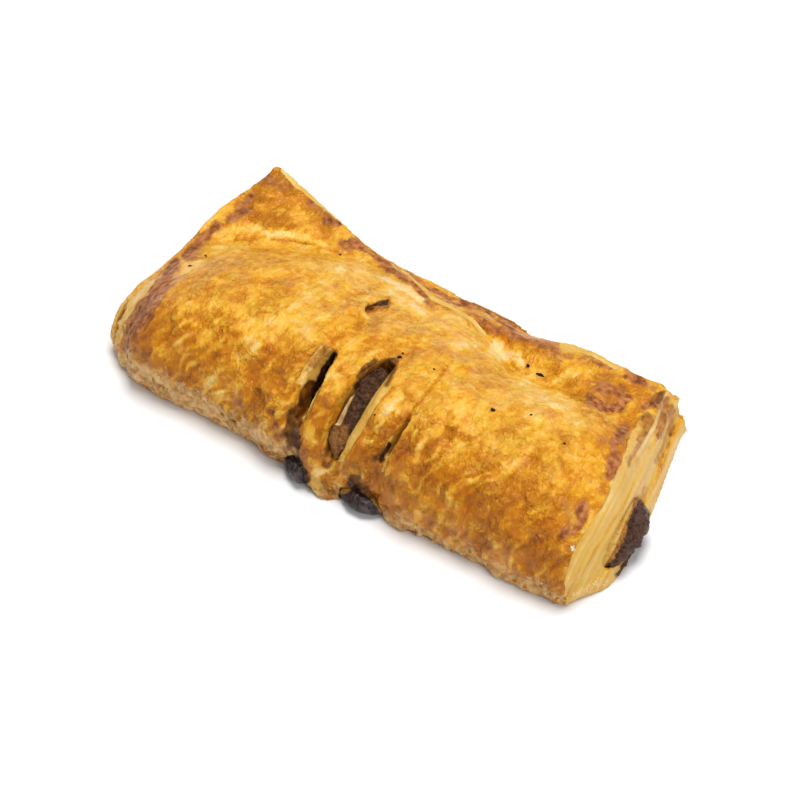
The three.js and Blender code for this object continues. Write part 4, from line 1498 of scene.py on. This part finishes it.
@dataclass
class Filling:
    """The dark tomato filling that shows in the slits, at the cut end and in the leaks.

    Each leak is given by its middle along x and its half width.
    """

    voxel_mm: float = 0.5
    smooth_rounds: int = 3
    leaks: tuple[Span, ...] = ((-6.9, 8.0), (10.3, 9.5))
    leak_fade: Span = (0.7, 1.0)
    leak_top_z: Span = (5.0, 9.0)
    leak_to_y: float = -26.0
    burst_x: Span = (56.0, 59.0)
    slit_z: Span = (11.0, 15.0)
    slit_middle_x: float = 2.0
    slit_half_mm: float = 7.0
    floor_gap_mm: float = 0.02

    large_bubble_mm: float = 2.0
    small_bubble_mm: float = 1.0
    small_bubble_part: float = 0.7
    bubble_seeds: tuple[int, int] = (81, 87)
    bubble_relief_mm: float = 0.7
    bubble_less_leaked: float = 0.8
    lumps: Grain = Grain(3.0, 91, 3, 0.5)
    roughness: float = 0.8
    roughness_outside: float = 0.5
    sunk_mm: float = 0.25
    smear_mm: float = 0.75
    leak_mm: float = 0.35
    leak_wrinkles: Grain = Grain((3.0, 1.4, 1.4), 141, 2, 0.3)
    slit_mm: float = 1.1
    slit_wall_sunk_mm: float = 1.3

    low_slit_light: float = 0.4
    burst_dark: float = 0.06
    leak_edge_dough: float = 0.8
    finish: FillingFinish = FillingFinish()

    def build(self) -> Piece:
        """Makes the filling.

        Returns:
            The finished piece.
        """
        piece = fine_copy("tomato_filling", "filling", self.voxel_mm, self.smooth_rounds)
        self.shape_and_tint(piece)
        select_only(piece)
        bpy.ops.object.shade_smooth()
        piece.data.materials.append(self.finish.make())
        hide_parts("tomato_filling")
        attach(piece, "root")
        return piece

    def leaked(self, points: Array) -> Array:
        """How much each point belongs to a leak.

        Args:
            points: Places in millimetres, one row each.

        Returns:
            A share from 0 to 1 for each point.
        """
        across, back, up = points.T
        low_front = (1.0 - smooth_share(*self.leak_top_z, up)) * (back < self.leak_to_y)
        gaps = [np.abs(across - middle) / half for middle, half in self.leaks]
        return low_front * (1.0 - smooth_share(*self.leak_fade, np.min(gaps, axis=0)))

    def shape_and_tint(self, piece: Piece) -> None:
        """Makes the filling granular, and stores where it is burnt, light or smeared with dough.

        Args:
            piece: The filling.
        """
        work = MeshWork(piece)
        points = work.points.copy()
        pixels = VIEW.pixels(points)
        leaked = self.leaked(points)
        burst = smooth_share(*self.burst_x, points[:, 0])
        dark = covered(BURST_MARKS, pixels)
        smeared = burst * (1.0 - dark)
        wall = covered(SLIT_WALL_MARKS, pixels)
        beside_slit = np.abs(points[:, 0] - self.slit_middle_x) < self.slit_half_mm
        in_slit = smooth_share(*self.slit_z, points[:, 2]) * beside_slit

        large_seed, small_seed = self.bubble_seeds
        bubbles = bubble_field(points, self.large_bubble_mm, large_seed)
        bubbles += self.small_bubble_part * bubble_field(points, self.small_bubble_mm, small_seed)
        bubble_mm = self.bubble_relief_mm * (1.0 - self.bubble_less_leaked * leaked)
        rough = self.roughness + self.roughness_outside * np.maximum(burst, leaked)
        rough *= (1.0 - smeared) * (1.0 - wall)
        raised = rough * (bubble_mm * bubbles + self.lumps.at(points))
        raised += self.smear_mm * smeared - self.sunk_mm
        raised += leaked * (self.leak_mm + self.leak_wrinkles.at(points))
        raised += in_slit * (self.slit_mm - self.slit_wall_sunk_mm * wall)
        work.points += work.normals * raised[:, None]
        work.points[:, 2] = np.maximum(work.points[:, 2], self.floor_gap_mm)
        work.write()

        leak_edge = leaked * covered(LEAK_EDGE_MARKS, pixels)
        work.store("burnt", np.maximum(leaked, burst * dark))
        work.store("leak", leaked)
        work.store("light", self.low_slit_light * covered(LOW_SLIT_MARKS, pixels) - self.burst_dark * burst)
        work.store("dough", np.maximum(smeared, self.leak_edge_dough * leak_edge))
        work.store("toffee", np.maximum(covered(BURST_BAND_MARKS, pixels), leak_edge))
        work.store("wall", wall)


@dataclass
class Flakes:
    """Thin scales of dough that stand off the crust's ragged foot.

    The shares are parts of a flake's usual half width.
    """

    count: int = 70
    corners: int = 7
    thickness_mm: float = 0.16
    lift_deg: Span = (5.0, 35.0)
    size_mm: Span = (0.3, 0.9)
    seed: int = 7
    paler: Span = (-0.2, 0.0)
    least_foot: float = 0.4
    most_stain: float = 0.01
    from_z: float = 0.5
    wall_facing: float = 0.5
    corner_shift: Span = (-0.3, 0.3)
    corner_reach: Span = (0.6, 1.2)
    depth_share: float = 0.7
    hold_share: float = 0.45
    curl_share: float = 0.08

    def build(self, crust: Piece, material: bpy.types.Material) -> Piece:
        """Makes the flakes on a finished crust.

        Args:
            crust: The crust.
            material: The crust's material.

        Returns:
            The finished piece.
        """
        draw = np.random.default_rng(self.seed)
        work = MeshWork(crust)
        bake_and_shade = work.load("bake_and_shade")
        low_wall = (work.points[:, 2] > self.from_z) & (work.normals[:, 2] < self.wall_facing)
        clean_foot = (work.load("foot") > self.least_foot) & (work.load("stain_and_shade") < self.most_stain)
        flake_corners = 2 * (self.corners + 1)
        points, faces, levels = [], [], []
        for place in draw.choice(np.flatnonzero(clean_foot & low_wall), self.count, replace=False):
            first = len(points) * flake_corners
            lift_deg = draw.uniform(*self.lift_deg)
            size_mm = draw.uniform(*self.size_mm)
            points.append(self.scale_points(draw, work.points[place], work.normals[place], lift_deg, size_mm))
            faces.extend(tuple(first + corner for corner in face) for face in self.scale_faces())
            levels.append(np.full(flake_corners, bake_and_shade[place] + draw.uniform(*self.paler)))
        mesh = bpy.data.meshes.new("loose_flakes")
        mesh.from_pydata(np.concatenate(points) * MM, [], faces)
        piece = bpy.data.objects.new("loose_flakes", mesh)
        bpy.context.scene.collection.objects.link(piece)
        MeshWork(piece).store("bake_and_shade", np.concatenate(levels))
        mesh.materials.append(material)
        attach(piece, "root")
        return piece

    def scale_points(
        self, draw: np.random.Generator, place: Array, normal: Array, lift_deg: float, size_mm: float
    ) -> Array:
        """Corners of one flake, which is held at one side and lifted at the other.

        Args:
            draw: Source of random values.
            place: Where the flake is held.
            normal: Which way the crust faces there.
            lift_deg: How far the flake stands off.
            size_mm: Its usual half width.

        Returns:
            The corners of its outer and inner side, in millimetres.
        """
        side = np.cross(normal, draw.normal(size=3))
        side /= np.linalg.norm(side)
        away = np.cross(normal, side)
        lift = math.radians(lift_deg)
        out = away * math.cos(lift) + normal * math.sin(lift)
        up = normal * math.cos(lift) - away * math.sin(lift)
        steps = np.arange(self.corners) + draw.uniform(*self.corner_shift, self.corners)
        turns = 2.0 * math.pi * steps / self.corners
        reach = size_mm * draw.uniform(*self.corner_reach, self.corners)
        across = np.append(reach * np.cos(turns), 0.0)
        along = np.append(self.depth_share * reach * np.sin(turns), 0.0) + self.hold_share * size_mm
        curl = self.curl_share * size_mm * np.append((across[:-1] / size_mm) ** 2, 0.0)
        outer = place + np.outer(across, side) + np.outer(along, out) + np.outer(curl, up)
        return np.concatenate([outer, outer - up * self.thickness_mm])

    def scale_faces(self) -> list[tuple[int, ...]]:
        """Faces of one flake: its outer side, its inner side and its edge.

        Returns:
            The corners of each face.
        """
        middle = self.corners
        under = self.corners + 1
        faces = []
        for corner in range(self.corners):
            after = (corner + 1) % self.corners
            faces.append((corner, after, middle))
            faces.append((under + after, under + corner, under + middle))
            faces.append((after, corner, under + corner, under + after))
        return faces


@dataclass(frozen=True)
class Speck:
    """A burnt bit on the crust, placed where the photograph shows it."""

    pixel: Pixel
    size_mm: float
    stretch: float = 1.0


SPECKS = (
    Speck((400, 357), 0.62),
    Speck((403, 353.5), 0.3),
    Speck((493, 410), 0.55, 1.1),
    Speck((528, 366), 0.4, 1.6),
    Speck((540, 375), 0.42, 3.2),
    Speck((531, 415), 0.28),
    Speck((565, 444), 0.28),
    Speck((375, 415), 0.25),
    Speck((190, 266), 0.5),
    Speck((206, 256), 0.3, 1.5),
    Speck((246, 360), 0.25),
    Speck((340, 255), 0.25),
    Speck((434, 369), 0.25, 1.8),
)


@dataclass(frozen=True)
class SpeckFinish:
    """Burnt black crumbs."""

    colour: Colour = (0.018, 0.009, 0.006)
    roughness: float = 0.6
    shine: float = 0.15

    def make(self) -> bpy.types.Material:
        """Makes the material.

        Returns:
            The specks' material.
        """
        pad = NodePad("burnt_specks")
        surface = {
            "Base Color": (*self.colour, 1.0),
            "Roughness": self.roughness,
            "Specular IOR Level": self.shine,
        }
        pad.feed(pad.surface, surface)
        return pad.material


@dataclass
class Specks:
    """The few burnt bits that lie on the crust."""

    specks: tuple[Speck, ...] = SPECKS
    flatness: float = 0.7
    roundness: int = 2
    lumpiness: Grain = Grain(0.5, 121, 1, 0.25)
    finish: SpeckFinish = SpeckFinish()

    def build(self, crust: Piece) -> Piece:
        """Makes the specks on a finished crust.

        Args:
            crust: The crust.

        Returns:
            The finished piece.
        """
        bpy.context.view_layer.update()
        camera_place = Vector(VIEW.place_mm() * MM)
        bits = []
        for speck in self.specks:
            hit, place, normal, _ = crust.ray_cast(camera_place, Vector(VIEW.ray(speck.pixel)))
            if not hit:
                LOG.warning("speck at %s misses the crust", speck.pixel)
                continue
            bpy.ops.object.select_all(action="DESELECT")
            bpy.ops.mesh.primitive_ico_sphere_add(
                subdivisions=self.roundness, radius=speck.size_mm * MM, location=place
            )
            bit = bpy.context.object
            bit.rotation_euler = normal.to_track_quat("Z", "Y").to_euler()
            bit.scale = (speck.stretch, 1.0, self.flatness)
            bits.append(bit)
        for bit in bits:
            bit.select_set(True)
        bpy.ops.object.join()
        bpy.ops.object.transform_apply(location=True, rotation=True, scale=True)
        piece = bpy.context.object
        piece.name = "burnt_specks"
        work = MeshWork(piece)
        work.points += work.normals * self.lumpiness.at(work.points)[:, None]
        work.write()
        piece.data.materials.append(self.finish.make())
        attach(piece, "root")
        return piece


@dataclass
class Studio:
    """Pale floor and soft light."""

    floor_size_mm: float = 6000.0
    floor_drop_mm: float = 0.1
    floor_tone: Colour = (0.92, 0.92, 0.92)
    floor_roughness: float = 0.9
    sky: float = 0.32
    sky_tint: Colour = (1.0, 1.0, 1.0)
    light_size_mm: float = 550.0
    key_watts: float = 9.6
    key_place_mm: Triple = (-60.0, 160.0, 1000.0)
    fill_watts: float = 3.5
    fill_place_mm: Triple = (900.0, -350.0, 520.0)

    def build(self) -> None:
        """Adds the floor, the lights and the sky."""
        self.lay_floor()
        self.soft_light("key_light", self.key_place_mm, self.key_watts)
        self.soft_light("fill_light", self.fill_place_mm, self.fill_watts)
        world = bpy.data.worlds.new("soft_sky")
        world.use_nodes = True
        background = world.node_tree.nodes["Background"]
        background.inputs["Color"].default_value = (*self.sky_tint, 1.0)
        background.inputs["Strength"].default_value = self.sky
        bpy.context.scene.world = world
        bpy.context.scene.view_settings.view_transform = "Standard"

    def lay_floor(self) -> None:
        """Adds the floor, just below the pastry."""
        bpy.ops.object.select_all(action="DESELECT")
        place = (0.0, 0.0, -self.floor_drop_mm * MM)
        bpy.ops.mesh.primitive_plane_add(size=self.floor_size_mm * MM, location=place)
        floor = bpy.context.object
        floor.name = "floor"
        pad = NodePad("pale_floor")
        pad.feed(pad.surface, {"Base Color": (*self.floor_tone, 1.0), "Roughness": self.floor_roughness})
        floor.data.materials.append(pad.material)

    def soft_light(self, name: str, place_mm: Triple, watts: float) -> None:
        """Adds one large square light that looks at the pastry.

        Args:
            name: The light's name.
            place_mm: Where it hangs.
            watts: Its strength.
        """
        place = Vector(place_mm) * MM
        bpy.ops.object.light_add(type="AREA", location=place)
        light = bpy.context.object
        light.name = name
        light.data.energy = watts
        light.data.size = self.light_size_mm * MM
        light.rotation_euler = (-place).to_track_quat("-Z", "Y").to_euler()


def main() -> None:
    """Builds the pastry piece by piece, and the studio around it."""
    VIEW.make_camera()
    Studio().build()
    crust = Crust().build()
    pieces = (crust, Filling().build(), Flakes().build(crust, crust.data.materials[0]), Specks().build(crust))
    for piece in pieces:
        piece.data.calc_loop_triangles()
        LOG.info("%s: %d triangles", piece.name, len(piece.data.loop_triangles))


if __name__ == "__main__":
    logging.basicConfig(level=logging.INFO)
    main()
